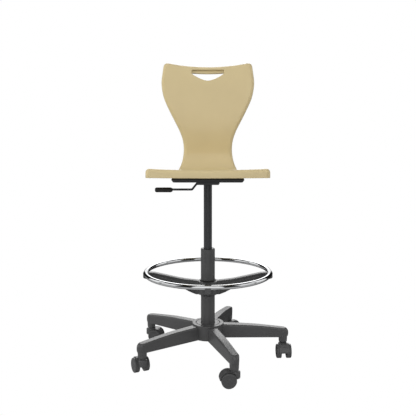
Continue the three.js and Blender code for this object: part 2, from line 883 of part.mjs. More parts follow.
function plateSection(inset, z) {
  const half = mechanism.plateWidth / 2 - inset;
  const corner = mechanism.plateCorner - inset;
  const [front, back] = [inset - mechanism.plateFront, mechanism.plateBack - inset];
  const right = half - corner;
  const [low, high] = [front + corner, back - corner];
  const centres = [[right, high], [-right, high], [-right, low], [right, low]];
  const outline = centres.flatMap((centre, i) => (
    arc(centre, [corner, corner], i * 90, i * 90 + 90, cornerSteps)
  ));
  return outline.map(([x, y]) => new THREE.Vector3(x, y, z));
}

function mountingPlate() {
  const tipBottom = plateBottom + mechanism.plateTipHeight - mechanism.plateTipBand / 2;
  const tipTop = tipBottom + mechanism.plateTipBand;
  const edgeInset = (z) => Math.max(
    (mechanism.plateTopRun * (z - tipTop)) / (plateTop - tipTop),
    (mechanism.plateFootRun * (tipBottom - z)) / (tipBottom - plateBottom),
    0,
  );
  const stops = (top) => [plateBottom, tipBottom, tipTop, top];
  const outer = lofted(stops(plateTop).map((z) => plateSection(edgeInset(z), z)));
  const wall = mechanism.plateWall;
  const room = lofted([
    plateSection(edgeInset(plateBottom) + wall, plateBottom - cutOverrun),
    ...stops(skinBottom).map((z) => plateSection(edgeInset(z) + wall, z)),
  ]);
  const hole = disc(
    boreRadius(shell.screwRadius, seatGap, smallSides),
    skinBottom - cutOverrun,
    plateTop + cutOverrun,
    smallSides,
  );
  const holes = screwPlaces.map(([x, y]) => hole.translate([x, y, 0]));
  return outer.subtract(joined([room, ...holes]));
}

function leverPivotPin() {
  const earFace = mechanism.earSpacing / 2 + mechanism.earThickness;
  const headFoot = earFace + seatGap;
  const headTop = headFoot + mechanism.pinHeadLength;
  const rod = (radius, from, to) => crossRod(radius, from, to, -lever.pivotOffset, pivotHeight, rodSides);
  return joined([
    rod(mechanism.pinRadius, -headTop, headTop),
    rod(mechanism.pinHeadRadius, -headTop, -headFoot),
    rod(mechanism.pinHeadRadius, headFoot, headTop),
  ]);
}

// A path of [x, z] points with its inner corners rounded off
function softened(path, run) {
  return path.flatMap(([x, z], i) => {
    if (i === 0 || i === path.length - 1) return [[x, z]];
    const corner = new THREE.Vector2(x, z);
    const towards = ([toX, toZ]) => corner.clone().add(
      new THREE.Vector2(toX - x, toZ - z).normalize().multiplyScalar(run),
    );
    const bend = new THREE.QuadraticBezierCurve(towards(path[i - 1]), corner, towards(path[i + 1]));
    return bend.getPoints(cornerSteps + 1).map((point) => [point.x, point.y]);
  });
}

// A round rod along a path of [x, z] points
function bentRod(path, radius, sides) {
  const direction = (from, to) => new THREE.Vector2(to[0] - from[0], to[1] - from[1]).normalize();
  const sections = path.map((here, i) => {
    const before = direction(path[Math.max(i - 1, 0)], path[Math.max(i, 1)]);
    const after = direction(path[Math.min(i, path.length - 2)], path[Math.min(i + 1, path.length - 1)]);
    const along = before.add(after).normalize();
    return Array.from({ length: sides }, (_, j) => {
      const angle = (j / sides) * Math.PI * 2;
      const out = radius * Math.cos(angle);
      return new THREE.Vector3(here[0] - along.y * out, radius * Math.sin(angle), here[1] + along.x * out);
    });
  });
  return lofted(sections);
}

function leverRod() {
  const path = [
    [lever.tipReach, pivotHeight],
    [-lever.pivotOffset, pivotHeight],
    [-lever.bendOffset, gripHeight],
    [seatGap - lever.gripStart - lever.gripBoreDepth, gripHeight],
  ];
  const barrelHalf = lever.barrelLength / 2;
  const place = [-lever.pivotOffset, pivotHeight];
  return bentRod(softened(path, lever.bendRun), lever.rodRadius, rodSides)
    .add(crossRod(lever.barrelRadius, -barrelHalf, barrelHalf, ...place, smallSides))
    .subtract(crossRod(
      boreRadius(mechanism.pinRadius, runningGap, rodSides),
      -lever.barrelLength,
      lever.barrelLength,
      ...place,
      rodSides,
    ));
}

function leverGrip() {
  const end = lever.gripLength;
  const bore = boreRadius(lever.rodRadius, seatGap, smallSides);
  const radius = lever.gripRadius;
  const endRound = arc([0, end - lever.gripRound], [radius, lever.gripRound], 0, 90, cornerSteps);
  return turned([
    [bore, 0],
    [lever.gripNeckRadius, 0],
    [radius, lever.gripTaper],
    ...endRound.slice(0, -1),
    [0, end],
    [0, lever.gripBoreDepth],
    [bore, lever.gripBoreDepth],
  ], smallSides).rotate([0, -90, 0]).translate([-lever.gripStart, 0, gripHeight]);
}

// Foot ring: the carrier's arm edges, as shares of the ring's radius and of the arm's drop
const carrierTopShares = [
  [0.1, 0.397],
  [0.364, 0.309],
  [0.455, 0.268],
  [0.7, 0.116],
  [0.864, 0.016],
  [0.95, 0],
];
const carrierFootShares = [[0.1, 1], [0.191, 1], [0.282, 0.9], [0.35, 0.8], [0.38, 0.75], [1.025, 0.275]];

// An edge of a carrier arm as [reach, height] points, from the arm's root outwards
function carrierEdge(shares) {
  const points = shares.map(([reachShare, dropShare]) => [
    reachShare * ring.radius,
    ring.height - dropShare * ring.armDrop,
  ]);
  const root = [ring.armRoot, heightAt(points, ring.armRoot)];
  return [root, ...points.filter(([x]) => x > ring.armRoot)];
}
const carrierTopEdge = carrierEdge(carrierTopShares);
const carrierFootEdge = carrierEdge(carrierFootShares);

const colletInner = boreRadius(column.tubeRadius, runningGap, roundSides);
const colletOuter = colletInner + ring.colletWall;

function ringCollet() {
  const [low, high] = [carrierBottom - ring.colletStand, carrierTop + ring.colletStand];
  const slit = ring.colletSlit / 2;
  const gap = box([0, -slit, low - cutOverrun], [colletOuter + cutOverrun, slit, high + cutOverrun]);
  return tube(colletInner, colletOuter, low, high, roundSides).subtract(spun(gap, ring.slitDegrees));
}

function ringTube() {
  const halfTurn = Math.PI / ringSides;
  const radius = ring.radius / Math.cos(halfTurn);
  const geometry = new THREE.TorusGeometry(radius, ring.tubeRadius, rodSides, ringSides);
  geometry.rotateZ(halfTurn);
  const screwRoom = boreRadius(ring.screwRadius, seatGap, rodSides);
  const bottom = ring.height - ring.tubeRadius;
  const hole = disc(screwRoom, bottom - cutOverrun, bottom + ring.screwBite + seatGap, rodSides);
  const holes = repeated(hole.translate([ring.radius, 0, 0]), ring.arms);
  return solidOf(geometry).translate([0, 0, ring.height]).subtract(joined(holes));
}

// One carrier arm on +X: a web that ends in a hook under the ring
function carrierArm() {
  const trough = boreRadius(ring.tubeRadius, seatGap, ring.troughSteps * 2);
  const centre = [ring.radius, ring.height];
  const outer = ring.radius + ring.hookReach;
  const foot = ring.height - ring.hookDrop;
  const under = carrierFootEdge.slice(0, -1).reverse();
  const hookCentre = [outer - ring.hookRound, foot + ring.hookRound];
  const hookFoot = arc(hookCentre, [ring.hookRound, ring.hookRound], 0, -80, cornerSteps);
  const outline = [
    ...carrierTopEdge,
    ...arc(centre, [trough, trough], 180, 360, ring.troughSteps),
    [outer - ring.hookLipRound, ring.height],
    [outer, ring.height - ring.hookLipRound],
    ...hookFoot,
    ...under,
  ];
  return slab(outline, -ring.armWidth / 2, ring.armWidth / 2);
}

// The recess in an arm's side, with two lengthwise ribs left standing in it
function armRecess() {
  const [start, end] = [ring.hubRadius + ring.recessGap, ring.radius - ring.recessEndGap];
  const reaches = Array.from({ length: ring.recessSteps + 1 }, (_, i) => mix(start, end, i / ring.recessSteps));
  const band = (heights) => {
    const [low, high] = [reaches.map((x) => [x, heights(x)[0]]), reaches.map((x) => [x, heights(x)[1]])];
    return [...low, ...high.reverse()];
  };
  const edges = (x) => [
    heightAt(carrierFootEdge, x) + ring.armFlange,
    heightAt(carrierTopEdge, x) - ring.armFlange,
  ];
  const [from, to] = [ring.armWidth / 2 - ring.armRecess, ring.armWidth / 2 + cutOverrun];
  const ribs = [1 / 3, 2 / 3].map((share) => slab(band((x) => {
    const middle = mix(...edges(x), share);
    return [middle - ring.ribHeight / 2, middle + ring.ribHeight / 2];
  }), from - cutOverrun, to - cutOverrun - ring.ribDepth));
  return slab(band(edges), from, to).subtract(joined(ribs));
}

function ringCarrier() {
  const edge = ring.hubEdge;
  const bore = boreRadius(colletOuter, ring.colletGap, roundSides);
  const hub = turned([
    [bore, carrierBottom],
    [ring.hubRadius - edge, carrierBottom],
    [ring.hubRadius, carrierBottom + edge],
    [ring.hubRadius, carrierTop - edge],
    [ring.hubRadius - edge, carrierTop],
    [bore, carrierTop],
  ], roundSides);
  const recess = armRecess();
  const headSeat = ring.height - ring.screwHeadDepth;
  const shankHole = disc(boreRadius(ring.screwRadius, seatGap, rodSides), headSeat, ring.height, rodSides);
  const headHole = disc(
    boreRadius(ring.screwHeadRadius, seatGap, rodSides),
    headSeat - ring.screwHeadRadius * 2,
    headSeat,
    rodSides,
  );
  const screwHole = joined([shankHole, headHole]).translate([ring.radius, 0, 0]);
  const arm = carrierArm().subtract(joined([recess, recess.mirror([0, 1, 0]), screwHole]));
  return joined([hub, ...repeated(arm, ring.arms)]);
}

function ringScrew() {
  const headTop = ring.height - ring.screwHeadDepth - seatGap;
  const top = ring.height - ring.tubeRadius + ring.screwBite;
  return joined([
    disc(ring.screwHeadRadius, headTop - ring.screwHeadHeight, headTop, rodSides),
    disc(ring.screwRadius, headTop - ring.screwHeadHeight / 2, top, rodSides),
  ]).translate([ring.radius, 0, 0]);
}

// Seat shell: its rim seen from the side and in plan.
// Each row gives how far back, how high and how wide it is, as shares of its depth, rise and half width.
const edgeShares = [
  [0.0, 0.0731, 1.0],
  [0.12, 0.0647, 1.0],
  [0.301, 0.0511, 1.0],
  [0.482, 0.0371, 0.9856],
  [0.643, 0.0252, 0.9002],
  [0.759, 0.0182, 0.7503],
  [0.834, 0.0276, 0.5955],
  [0.887, 0.0611, 0.5379],
  [0.919, 0.1103, 0.4923],
  [0.929, 0.163, 0.4675],
  [0.925, 0.2194, 0.46],
  [0.914, 0.2974, 0.48],
  [0.905, 0.3861, 0.5449],
  [0.905, 0.4748, 0.6352],
  [0.913, 0.5743, 0.7374],
  [0.928, 0.6834, 0.8327],
  [0.948, 0.8022, 0.8744],
  [0.973, 0.9005, 0.8575],
  [1.0, 1.0, 0.8297],
];
const topWidthShare = edgeShares[edgeShares.length - 1][2];
const edgeSamples = 240;
const saddleEndShares = [0.33, 0.45]; // where along the shell the seat's saddle fades out
const wrapStartShares = [0.6, 0.8]; // where the back's wrap fades in
const sagStartShares = [0.8, 1]; // where the rows start to follow the sagging top edge
const flangeFadeShares = [0.15, 0.35]; // where the front's deeper flange gives way to the sides'

// The shell's centre line by distance from the front edge, with its half width and its normal
function shellCentreLine() {
  const points = edgeShares.map(([back, up, wide]) => new THREE.Vector3(
    wide * shell.halfWidth,
    back * shell.depth - shell.frontReach,
    plateTop + up * shell.rise,
  ));
  const samples = new THREE.CatmullRomCurve3(points, false, "catmullrom", 0.5).getPoints(edgeSamples);
  let distance = 0;
  return samples.map((point, i) => {
    const before = samples[Math.max(i - 1, 0)];
    const after = samples[Math.min(i + 1, edgeSamples)];
    distance += i > 0 ? Math.hypot(point.y - before.y, point.z - before.z) : 0;
    const length = Math.hypot(after.y - before.y, after.z - before.z);
    const normalY = -(after.z - before.z) / length;
    const normalZ = (after.y - before.y) / length;
    return { distance, half: point.x, y: point.y, z: point.z, normalY, normalZ };
  });
}
const centreLine = shellCentreLine();
const shellLength = centreLine[edgeSamples].distance;

function smoothShare(value, [from, to]) {
  const t = Math.min(Math.max((value - from) / (to - from), 0), 1);
  return t * t * (3 - 2 * t);
}

function centreAt(distance) {
  const found = centreLine.findIndex((sample) => sample.distance >= distance);
  const i = Math.max(found === -1 ? edgeSamples : found, 1);
  const low = centreLine[i - 1];
  const high = centreLine[i];
  const share = (distance - low.distance) / (high.distance - low.distance);
  const at = (key) => mix(low[key], high[key], share);
  return { half: at("half"), y: at("y"), z: at("z"), normalY: at("normalY"), normalZ: at("normalZ") };
}

// How much a rounded corner takes from the half width, at a distance in from the end
function cornerLoss(radius, inset, distance) {
  if (distance >= radius) return 0;
  const left = radius - inset;
  return left - Math.sqrt(Math.max(left * left - (radius - distance) ** 2, 0));
}

// Half width at a distance from the front, for an outline drawn in by an inset
function halfWidthAt(distance, inset) {
  const reach = shell.wall;
  const slope = (centreAt(distance + reach).half - centreAt(distance - reach).half) / (reach * 2);
  const front = cornerLoss(shell.cornerRadius, inset, distance);
  const top = cornerLoss(shell.topCornerRadius, inset, shellLength - distance);
  return centreAt(distance).half - inset * Math.hypot(1, slope) - front - top;
}

function saddleAt(lengthShare) {
  return shell.saddle * (1 - smoothShare(lengthShare, saddleEndShares));
}

// A point of the shell: across by x, and behind the sitter's face by depth
function shellPoint(distance, x, depth) {
  const lengthShare = distance / shellLength;
  const topShare = Math.min(Math.abs(x) / (shell.halfWidth * topWidthShare), 1);
  const sag = shell.topSag * smoothShare(lengthShare, sagStartShares) * (1 - topShare * topShare);
  const line = centreAt(distance - sag);
  const wrap = shell.backWrap * smoothShare(lengthShare, wrapStartShares);
  const lift = (saddleAt(lengthShare) + wrap) * (x / shell.halfWidth) ** 2 - depth;
  return new THREE.Vector3(x, line.y + line.normalY * lift, line.z + line.normalZ * lift);
}

// Stops from one edge to the other: close together on the rims' rounds, even between them
const rimShares = [0, 0.12, 0.45, 1];
const acrossSteps = 6;
const alongSteps = 22;

function gridStops(start, end, band, steps) {
  const middle = Array.from({ length: steps - 1 }, (_, i) => mix(start + band, end - band, (i + 1) / steps));
  const rim = (edge, into) => rimShares.map((share) => edge + into * share);
  return [...rim(start, band), ...middle, ...rim(end, -band).reverse()];
}

const rimOutline = gridStops(0, shellLength, shell.cornerRadius, alongSteps * 2).map((distance) => ({
  distance,
  half: halfWidthAt(distance, 0),
}));

// How far a point of the flattened shell lies in from its outline
function edgeDistance(distance, x) {
  let least = Math.min(distance, shellLength - distance);
  for (let i = 1; i < rimOutline.length; i += 1) {
    const a = rimOutline[i - 1];
    const b = rimOutline[i];
    const run = b.distance - a.distance;
    const rise = b.half - a.half;
    const reach = (distance - a.distance) * run + (Math.abs(x) - a.half) * rise;
    const t = Math.min(Math.max(reach / (run * run + rise * rise), 0), 1);
    least = Math.min(least, Math.hypot(distance - a.distance - t * run, Math.abs(x) - a.half - t * rise));
  }
  return least;
}

// One face of the shell as rows of points, inset from the outline and set back by the same amount
function shellFace(inset) {
  const radius = shell.rimRadius - inset;
  return gridStops(inset, shellLength - inset, radius, alongSteps).map((distance) => {
    const half = halfWidthAt(distance, inset);
    return gridStops(-half, half, radius, acrossSteps).map((x) => {
      const near = Math.min(Math.max(edgeDistance(distance, x) - inset, 0), radius);
      const round = radius - Math.sqrt(radius * radius - (radius - near) ** 2);
      return { distance, x, depth: inset + round };
    });
  });
}

// The points round the edge of a face, in order
function borderOf(face) {
  const last = face.length - 1;
  const end = face[0].length - 1;
  const up = face.slice(1, last).map((row) => row[end]);
  const down = face.slice(1, last).map((row) => row[0]).reverse();
  return [...face[0], ...up, ...[...face[last]].reverse(), ...down];
}

// How far the rim's foot lies behind the sitter's face
function rimDepthAt(distance, x) {
  const lengthShare = distance / shellLength;
  const flange = mix(shell.rimFlange, shell.rimSideFlange, smoothShare(lengthShare, flangeFadeShares));
  const level = saddleAt(lengthShare) * shell.footLevelShare * (x / shell.halfWidth) ** 2;
  return shell.rimRadius + flange + level;
}

// The shell's skin: its two faces, joined round the rim by a flange
function shellSkin() {
  const positions = [];
  const indices = [];
  const place = ({ distance, x, depth }) => {
    positions.push(...shellPoint(distance, x, depth).toArray());
    return positions.length / 3 - 1;
  };
  const addFace = (face, facesSitter) => {
    const rows = face.map((row) => row.map(place));
    for (let i = 1; i < rows.length; i += 1) {
      for (let j = 1; j < rows[i].length; j += 1) {
        const [a, b, c, d] = [rows[i - 1][j - 1], rows[i - 1][j], rows[i][j], rows[i][j - 1]];
        indices.push(...(facesSitter ? [a, b, c, a, c, d] : [c, b, a, d, c, a]));
      }
    }
    return borderOf(rows);
  };
  const addStrip = (from, to) => {
    for (let i = 0; i < from.length; i += 1) {
      const next = (i + 1) % from.length;
      indices.push(from[i], to[i], to[next], from[i], to[next], from[next]);
    }
  };
  const [front, back] = [shellFace(0), shellFace(shell.wall)];
  const [frontBorder, backBorder] = [addFace(front, true), addFace(back, false)];
  const footOf = (face) => borderOf(face).map((point) => (
    place({ ...point, depth: rimDepthAt(point.distance, point.x) })
  ));
  const [frontFoot, backFoot] = [footOf(front), footOf(back)];
  addStrip(frontBorder, frontFoot);
  addStrip(frontFoot, backFoot);
  addStrip(backFoot, backBorder);
  return solidOf(meshed(positions, indices));
}

// The lip that hangs down behind the hand slot from the top rim
function rearLip() {
  const corners = [
    [shell.lipRoot, shell.lipDepth + shell.lipWall],
    [shell.lipRoot, shell.lipDepth],
    [shell.lipDrop, shell.lipDepth],
    [shell.lipDrop, shell.lipDepth + shell.lipWall],
  ];
  const section = (x) => {
    const rim = shellPoint(shellLength, x, 0);
    const back = shellPoint(shellLength, x, shell.wall).sub(rim).normalize();
    const down = new THREE.Vector3(0, back.z, -back.y);
    return corners.map(([fall, depth]) => (
      rim.clone().addScaledVector(down, fall).addScaledVector(back, depth)
    ));
  };
  return lofted(Array.from({ length: acrossSteps + 1 }, (_, i) => section(
    mix(-shell.lipHalfWidth, shell.lipHalfWidth, i / acrossSteps),
  )));
}

// The hand slot: a straight band with a smile under it
const smileShares = [[0.943, 0.185], [0.77, 0.428], [0.467, 0.751], [0.164, 0.96]];

function handSlot() {
  const rim = shellPoint(shellLength, 0, 0);
  const top = rim.z - shell.slotTopDrop;
  const half = shell.slotHalfWidth;
  const corner = shell.slotCorner;
  const bandFoot = top - shell.slotBandHeight;
  const smile = (side) => smileShares.map(([across, fall]) => [
    side * half * across,
    bandFoot - shell.slotSmileDrop * fall,
  ]);
  const outline = [
    ...arc([half - corner, top - corner], [corner, corner], 0, 90, cornerSteps),
    ...arc([corner - half, top - corner], [corner, corner], 90, 180, cornerSteps),
    [-half, bandFoot],
    ...smile(-1),
    [0, bandFoot - shell.slotSmileDrop],
    ...smile(1).reverse(),
    [half, bandFoot],
  ];
  return slab(outline, rim.y - shell.slotCutFront, rim.y + shell.slotCutBack);
}

function seatShell() {
  const bossFoot = plateTop + seatGap;
  const bosses = screwPlaces.map(([x, y]) => {
    const { z } = centreLine.find((sample) => sample.y >= y);
    return disc(shell.bossRadius, bossFoot, z - shell.wall / 2, smallSides).translate([x, y, 0]);
  });
  const hole = disc(
    boreRadius(shell.screwRadius, seatGap, smallSides),
    bossFoot - cutOverrun,
    bossFoot + shell.bossHoleDepth,
    smallSides,
  );
  const holes = screwPlaces.map(([x, y]) => hole.translate([x, y, 0]));
  return joined([shellSkin(), rearLip(), ...bosses]).subtract(joined([handSlot(), ...holes]));
}

function seatScrew([x, y]) {
  const headTop = skinBottom - seatGap;
  const headBottom = headTop - shell.screwHeadHeight;
  return joined([
    disc(shell.screwHeadRadius, headBottom, headTop, smallSides),
    disc(shell.screwRadius, headBottom + shell.screwHeadHeight / 2, headTop + shell.screwLength, smallSides),
  ]).translate([x, y, 0]);
}

// The assembly
const stool = new THREE.Group();
stool.name = "adjustable_swivel_stool";

function addPart(name, solid, material) {
  const part = new THREE.Mesh(geometryOf(solid), material);
  part.name = name;
  stool.add(part);
}

addPart("base_star", baseStar(), charcoalPlastic());
addPart("hub_sleeve", hubSleeve(), steelFinish());
addPart("standpipe", standpipe(), charcoalPaint());
addPart("column_bush", columnBush(), blackPlastic());
addPart("bearing_lower_race", bearingPlate(lowerRaceTop, column.raceThickness), steelFinish());
addPart("bearing_cage", bearingPlate(cageTop, column.cageThickness), blackPlastic());
addPart("bearing_upper_race", bearingPlate(upperRaceTop, column.raceThickness), steelFinish());
addPart("rod_bumper", rodBumper(), rubberFinish());
addPart("retaining_clip", retainingClip(), steelFinish());
addPart("piston_rod", pistonRod(), steelFinish());
addPart("gas_cylinder", gasCylinder(), blackPaint());
addPart("rod_guide", rodGuide(), blackPlastic());
addPart("release_pin", releasePin(), steelFinish());
addPart("taper_socket", taperSocket(), steelFinish());
addPart("mechanism_housing", mechanismHousing(), blackPaint());
addPart("mounting_plate", mountingPlate(), blackPaint());
addPart("lever_pivot_pin", leverPivotPin(), steelFinish());
addPart("lever_rod", leverRod(), blackPaint());
addPart("lever_grip", leverGrip(), blackPlastic());
addPart("seat_shell", seatShell(), beigePlastic());
screwPlaces.forEach((place, i) => addPart(`seat_screw_${i + 1}`, seatScrew(place), steelFinish()));

addPart("ring_collet", ringCollet(), blackPlastic());
addPart("foot_ring_carrier", ringCarrier(), charcoalPlastic());
addPart("foot_ring", ringTube(), chromeFinish());
repeated(ringScrew(), ring.arms).forEach((screw, i) => addPart(`ring_screw_${i + 1}`, screw, steelFinish()));

castors.forEach((placed) => {
  const wheel = castorWheel();
  addPart(`${placed.name}_hood`, underArm(castorHood(), placed), charcoalPlastic());
  addPart(`${placed.name}_stem`, underArm(castorStem(), placed), steelFinish());
  addPart(`${placed.name}_axle`, underArm(castorAxle(), placed), steelFinish());
  addPart(`${placed.name}_wheel_left`, underArm(wheel, placed), wheelPlastic());
  addPart(`${placed.name}_wheel_right`, underArm(wheel.mirror([0, 1, 0]), placed), wheelPlastic());
});

export default stool;
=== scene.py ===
import json
import math
from math import cos, pi, radians, sin

import bmesh
import bpy
import numpy as np
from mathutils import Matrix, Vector
from numpy.linalg import norm


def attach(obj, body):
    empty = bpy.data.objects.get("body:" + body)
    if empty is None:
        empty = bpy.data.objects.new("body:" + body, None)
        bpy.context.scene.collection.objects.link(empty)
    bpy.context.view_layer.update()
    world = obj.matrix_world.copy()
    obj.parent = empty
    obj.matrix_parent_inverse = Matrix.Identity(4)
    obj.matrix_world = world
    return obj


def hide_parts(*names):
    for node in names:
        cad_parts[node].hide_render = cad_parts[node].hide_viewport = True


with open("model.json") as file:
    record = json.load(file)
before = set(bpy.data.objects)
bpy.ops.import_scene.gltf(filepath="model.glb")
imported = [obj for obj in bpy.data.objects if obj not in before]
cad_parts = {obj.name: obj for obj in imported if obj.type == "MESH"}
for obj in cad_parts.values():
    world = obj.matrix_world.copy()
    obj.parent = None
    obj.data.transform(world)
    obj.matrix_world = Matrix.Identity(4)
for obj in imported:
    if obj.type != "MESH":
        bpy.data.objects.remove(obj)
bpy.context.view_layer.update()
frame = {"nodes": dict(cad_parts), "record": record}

MM = 0.001

# The Mix node's colour sockets by number, because its sockets share their names
FIRST_COLOR, SECOND_COLOR, MIXED_COLOR = 6, 7, 2


# Shader graphs
def new_finish(name, color, roughness, metallic=0.0):
    """A material, its node tree and its shader, with the values that are even all over it."""
    material = bpy.data.materials.new(name)
    material.use_nodes = True
    tree = material.node_tree
    shader = tree.nodes["Principled BSDF"]
    shader.inputs["Base Color"].default_value = (*color, 1.0)
    shader.inputs["Roughness"].default_value = roughness
    shader.inputs["Metallic"].default_value = metallic
    return material, tree, shader


def node(tree, kind, inputs=None, **settings):
    """A node with its settings, and its inputs given as values or as other nodes' outputs."""
    made = tree.nodes.new(kind)
    for name, value in settings.items():
        setattr(made, name, value)
    for name, value in (inputs or {}).items():
        if isinstance(value, bpy.types.NodeSocket):
            tree.links.new(value, made.inputs[name])
        else:
            made.inputs[name].default_value = value
    return made


def math_on(tree, operation, *values):
    inputs = dict(enumerate(values))
    return node(tree, "ShaderNodeMath", inputs, operation=operation).outputs["Value"]


def place_on(tree, stretch=(1.0, 1.0, 1.0)):
    """The place on the piece, in metres, which moves with the piece."""
    place = node(tree, "ShaderNodeTexCoord").outputs["Object"]
    return node(tree, "ShaderNodeMapping", {"Vector": place, "Scale": stretch}).outputs["Vector"]


def noise(tree, place, size, detail=2.0, rough=0.5):
    """Noise with features of about this size, in metres."""
    inputs = {"Vector": place, "Scale": 1.0 / size, "Detail": detail, "Roughness": rough}
    return node(tree, "ShaderNodeTexNoise", inputs).outputs["Fac"]


def cells(tree, place, size):
    """Distance from the middle of cells of about this size, in metres."""
    inputs = {"Vector": place, "Scale": 1.0 / size}
    return node(tree, "ShaderNodeTexVoronoi", inputs).outputs["Distance"]


def spread(tree, value, low, high, start=0.0, end=1.0):
    """The value, mapped from low..high to start..end and held within it."""
    inputs = {"Value": value, "From Min": low, "From Max": high, "To Min": start, "To Max": end}
    return node(tree, "ShaderNodeMapRange", inputs).outputs["Result"]


def blended(tree, share, first, second):
    """A colour between two colours."""
    made = node(tree, "ShaderNodeMix", data_type="RGBA")
    tree.links.new(share, made.inputs["Factor"])
    for number, value in ((FIRST_COLOR, first), (SECOND_COLOR, second)):
        if isinstance(value, bpy.types.NodeSocket):
            tree.links.new(value, made.inputs[number])
        else:
            made.inputs[number].default_value = (*value, 1.0)
    return made.outputs[MIXED_COLOR]


def raised(tree, shader, height, depth, under=None):
    """Bump of this depth, in metres, over any bump already there."""
    inputs = {"Height": height, "Distance": depth, "Strength": 1.0}
    if under is not None:
        inputs["Normal"] = under
    bump = node(tree, "ShaderNodeBump", inputs).outputs["Normal"]
    tree.links.new(bump, shader.inputs["Normal"])
    return bump


def edge_share(tree, reach, least, most):
    """From zero on open faces to one on sharp edges, by how far the surface turns nearby."""
    bevel = node(tree, "ShaderNodeBevel", {"Radius": reach}, samples=6).outputs["Normal"]
    facing = node(tree, "ShaderNodeNewGeometry").outputs["Normal"]
    both = {0: bevel, 1: facing}
    dot = node(tree, "ShaderNodeVectorMath", both, operation="DOT_PRODUCT").outputs["Value"]
    return spread(tree, dot, 1.0 - least, 1.0 - most)


def moulded(name, color, shade, roughness, grain, depth, wear, wear_color):
    """Moulded plastic: a fine eroded grain, a faint flow mottle and polished, paler edges."""
    mottle_size, wave_size, patch_size, edge_reach = 0.09, 0.03, 0.018, 0.0014
    material, tree, shader = new_finish(name, color, sum(roughness) / 2)
    place = place_on(tree)
    mottle = spread(tree, noise(tree, place, mottle_size, 3.0), 0.3, 0.7)
    speck = spread(tree, noise(tree, place, grain * 2.5, 2.0), 0.35, 0.65)
    plain = blended(tree, mottle, shade, color)
    edges = edge_share(tree, edge_reach, 0.03, 0.25)
    patches = spread(tree, noise(tree, place, patch_size, 3.0), 0.42, 0.6)
    worn = spread(tree, math_on(tree, "MULTIPLY", edges, patches), 0.0, 1.0, 0.0, wear)
    tree.links.new(blended(tree, worn, plain, wear_color), shader.inputs["Base Color"])
    tree.links.new(spread(tree, speck, 0.0, 1.0, *roughness), shader.inputs["Roughness"])
    waves = raised(tree, shader, noise(tree, place, wave_size, 2.0), depth * 3)
    raised(tree, shader, cells(tree, place, grain), depth, waves)
    return material


def coated(name, color, shade, roughness, metallic):
    """Powder coat: a soft orange peel, a fine tooth and a faint cloud in its colour."""
    cloud_size, haze_size = 0.05, 0.006
    peel_size, peel_depth = 0.0022, 0.00006
    tooth_size, tooth_depth = 0.0004, 0.00001
    material, tree, shader = new_finish(name, color, sum(roughness) / 2, metallic)
    place = place_on(tree)
    cloud = spread(tree, noise(tree, place, cloud_size, 3.0), 0.3, 0.7)
    tree.links.new(blended(tree, cloud, shade, color), shader.inputs["Base Color"])
    haze = spread(tree, noise(tree, place, haze_size, 3.0), 0.3, 0.7, *roughness)
    tree.links.new(haze, shader.inputs["Roughness"])
    peel = raised(tree, shader, noise(tree, place, peel_size, 1.0), peel_depth)
    raised(tree, shader, noise(tree, place, tooth_size, 2.0), tooth_depth, peel)
    return material


def plated(name, color, shade, roughness, scratch_size):
    """Bright metal: faint haze, fine scratches and slow changes in its polish."""
    haze_size, scratch_depth, wave_size, wave_depth = 0.04, 0.000004, 0.012, 0.00002
    along = (1.0, 1.0, 14.0)
    material, tree, shader = new_finish(name, color, sum(roughness) / 2, 1.0)
    place = place_on(tree)
    haze = spread(tree, noise(tree, place, haze_size, 4.0), 0.35, 0.65)
    tree.links.new(blended(tree, haze, shade, color), shader.inputs["Base Color"])
    scratches = noise(tree, place_on(tree, along), scratch_size, 4.0, 0.7)
    tree.links.new(spread(tree, scratches, 0.3, 0.8, *roughness), shader.inputs["Roughness"])
    under = raised(tree, shader, scratches, scratch_depth)
    raised(tree, shader, noise(tree, place, wave_size, 1.0), wave_depth, under)
    return material


def rubbery(name, color, shade):
    """Dark rubber: matt, with a dusty bloom and a fine tooth."""
    bloom_size, tooth_size, tooth_depth = 0.012, 0.0006, 0.00004
    material, tree, shader = new_finish(name, color, 0.8)
    place = place_on(tree)
    bloom = spread(tree, noise(tree, place, bloom_size, 4.0), 0.35, 0.7)
    tree.links.new(blended(tree, bloom, color, shade), shader.inputs["Base Color"])
    tree.links.new(spread(tree, bloom, 0.0, 1.0, 0.68, 0.9), shader.inputs["Roughness"])
    raised(tree, shader, noise(tree, place, tooth_size, 3.0), tooth_depth)
    return material


PLASTICS = {
    "beige_plastic": dict(
        color=(0.636, 0.518, 0.282), shade=(0.61, 0.494, 0.266), wear_color=(0.68, 0.56, 0.34),
        roughness=(0.3, 0.42), grain=0.0007, depth=0.000012, wear=0.25,
    ),
    "charcoal_plastic": dict(
        color=(0.074, 0.074, 0.075), shade=(0.066, 0.066, 0.067), wear_color=(0.13, 0.13, 0.13),
        roughness=(0.27, 0.37), grain=0.0008, depth=0.00001, wear=0.4,
    ),
    "castor_plastic": dict(
        color=(0.068, 0.068, 0.069), shade=(0.06, 0.06, 0.061), wear_color=(0.11, 0.11, 0.11),
        roughness=(0.27, 0.37), grain=0.0006, depth=0.00001, wear=0.4,
    ),
    "black_plastic": dict(
        color=(0.012, 0.0115, 0.011), shade=(0.01, 0.0096, 0.0093), wear_color=(0.06, 0.06, 0.06),
        roughness=(0.34, 0.48), grain=0.0006, depth=0.000012, wear=0.4,
    ),
}
# Colour, its darker shade and the range of the roughness
PAINTS = {
    "black_paint": ((0.041, 0.042, 0.045), (0.035, 0.036, 0.039), (0.3, 0.42)),
    "charcoal_paint": ((0.08, 0.08, 0.081), (0.074, 0.074, 0.075), (0.28, 0.36)),
}
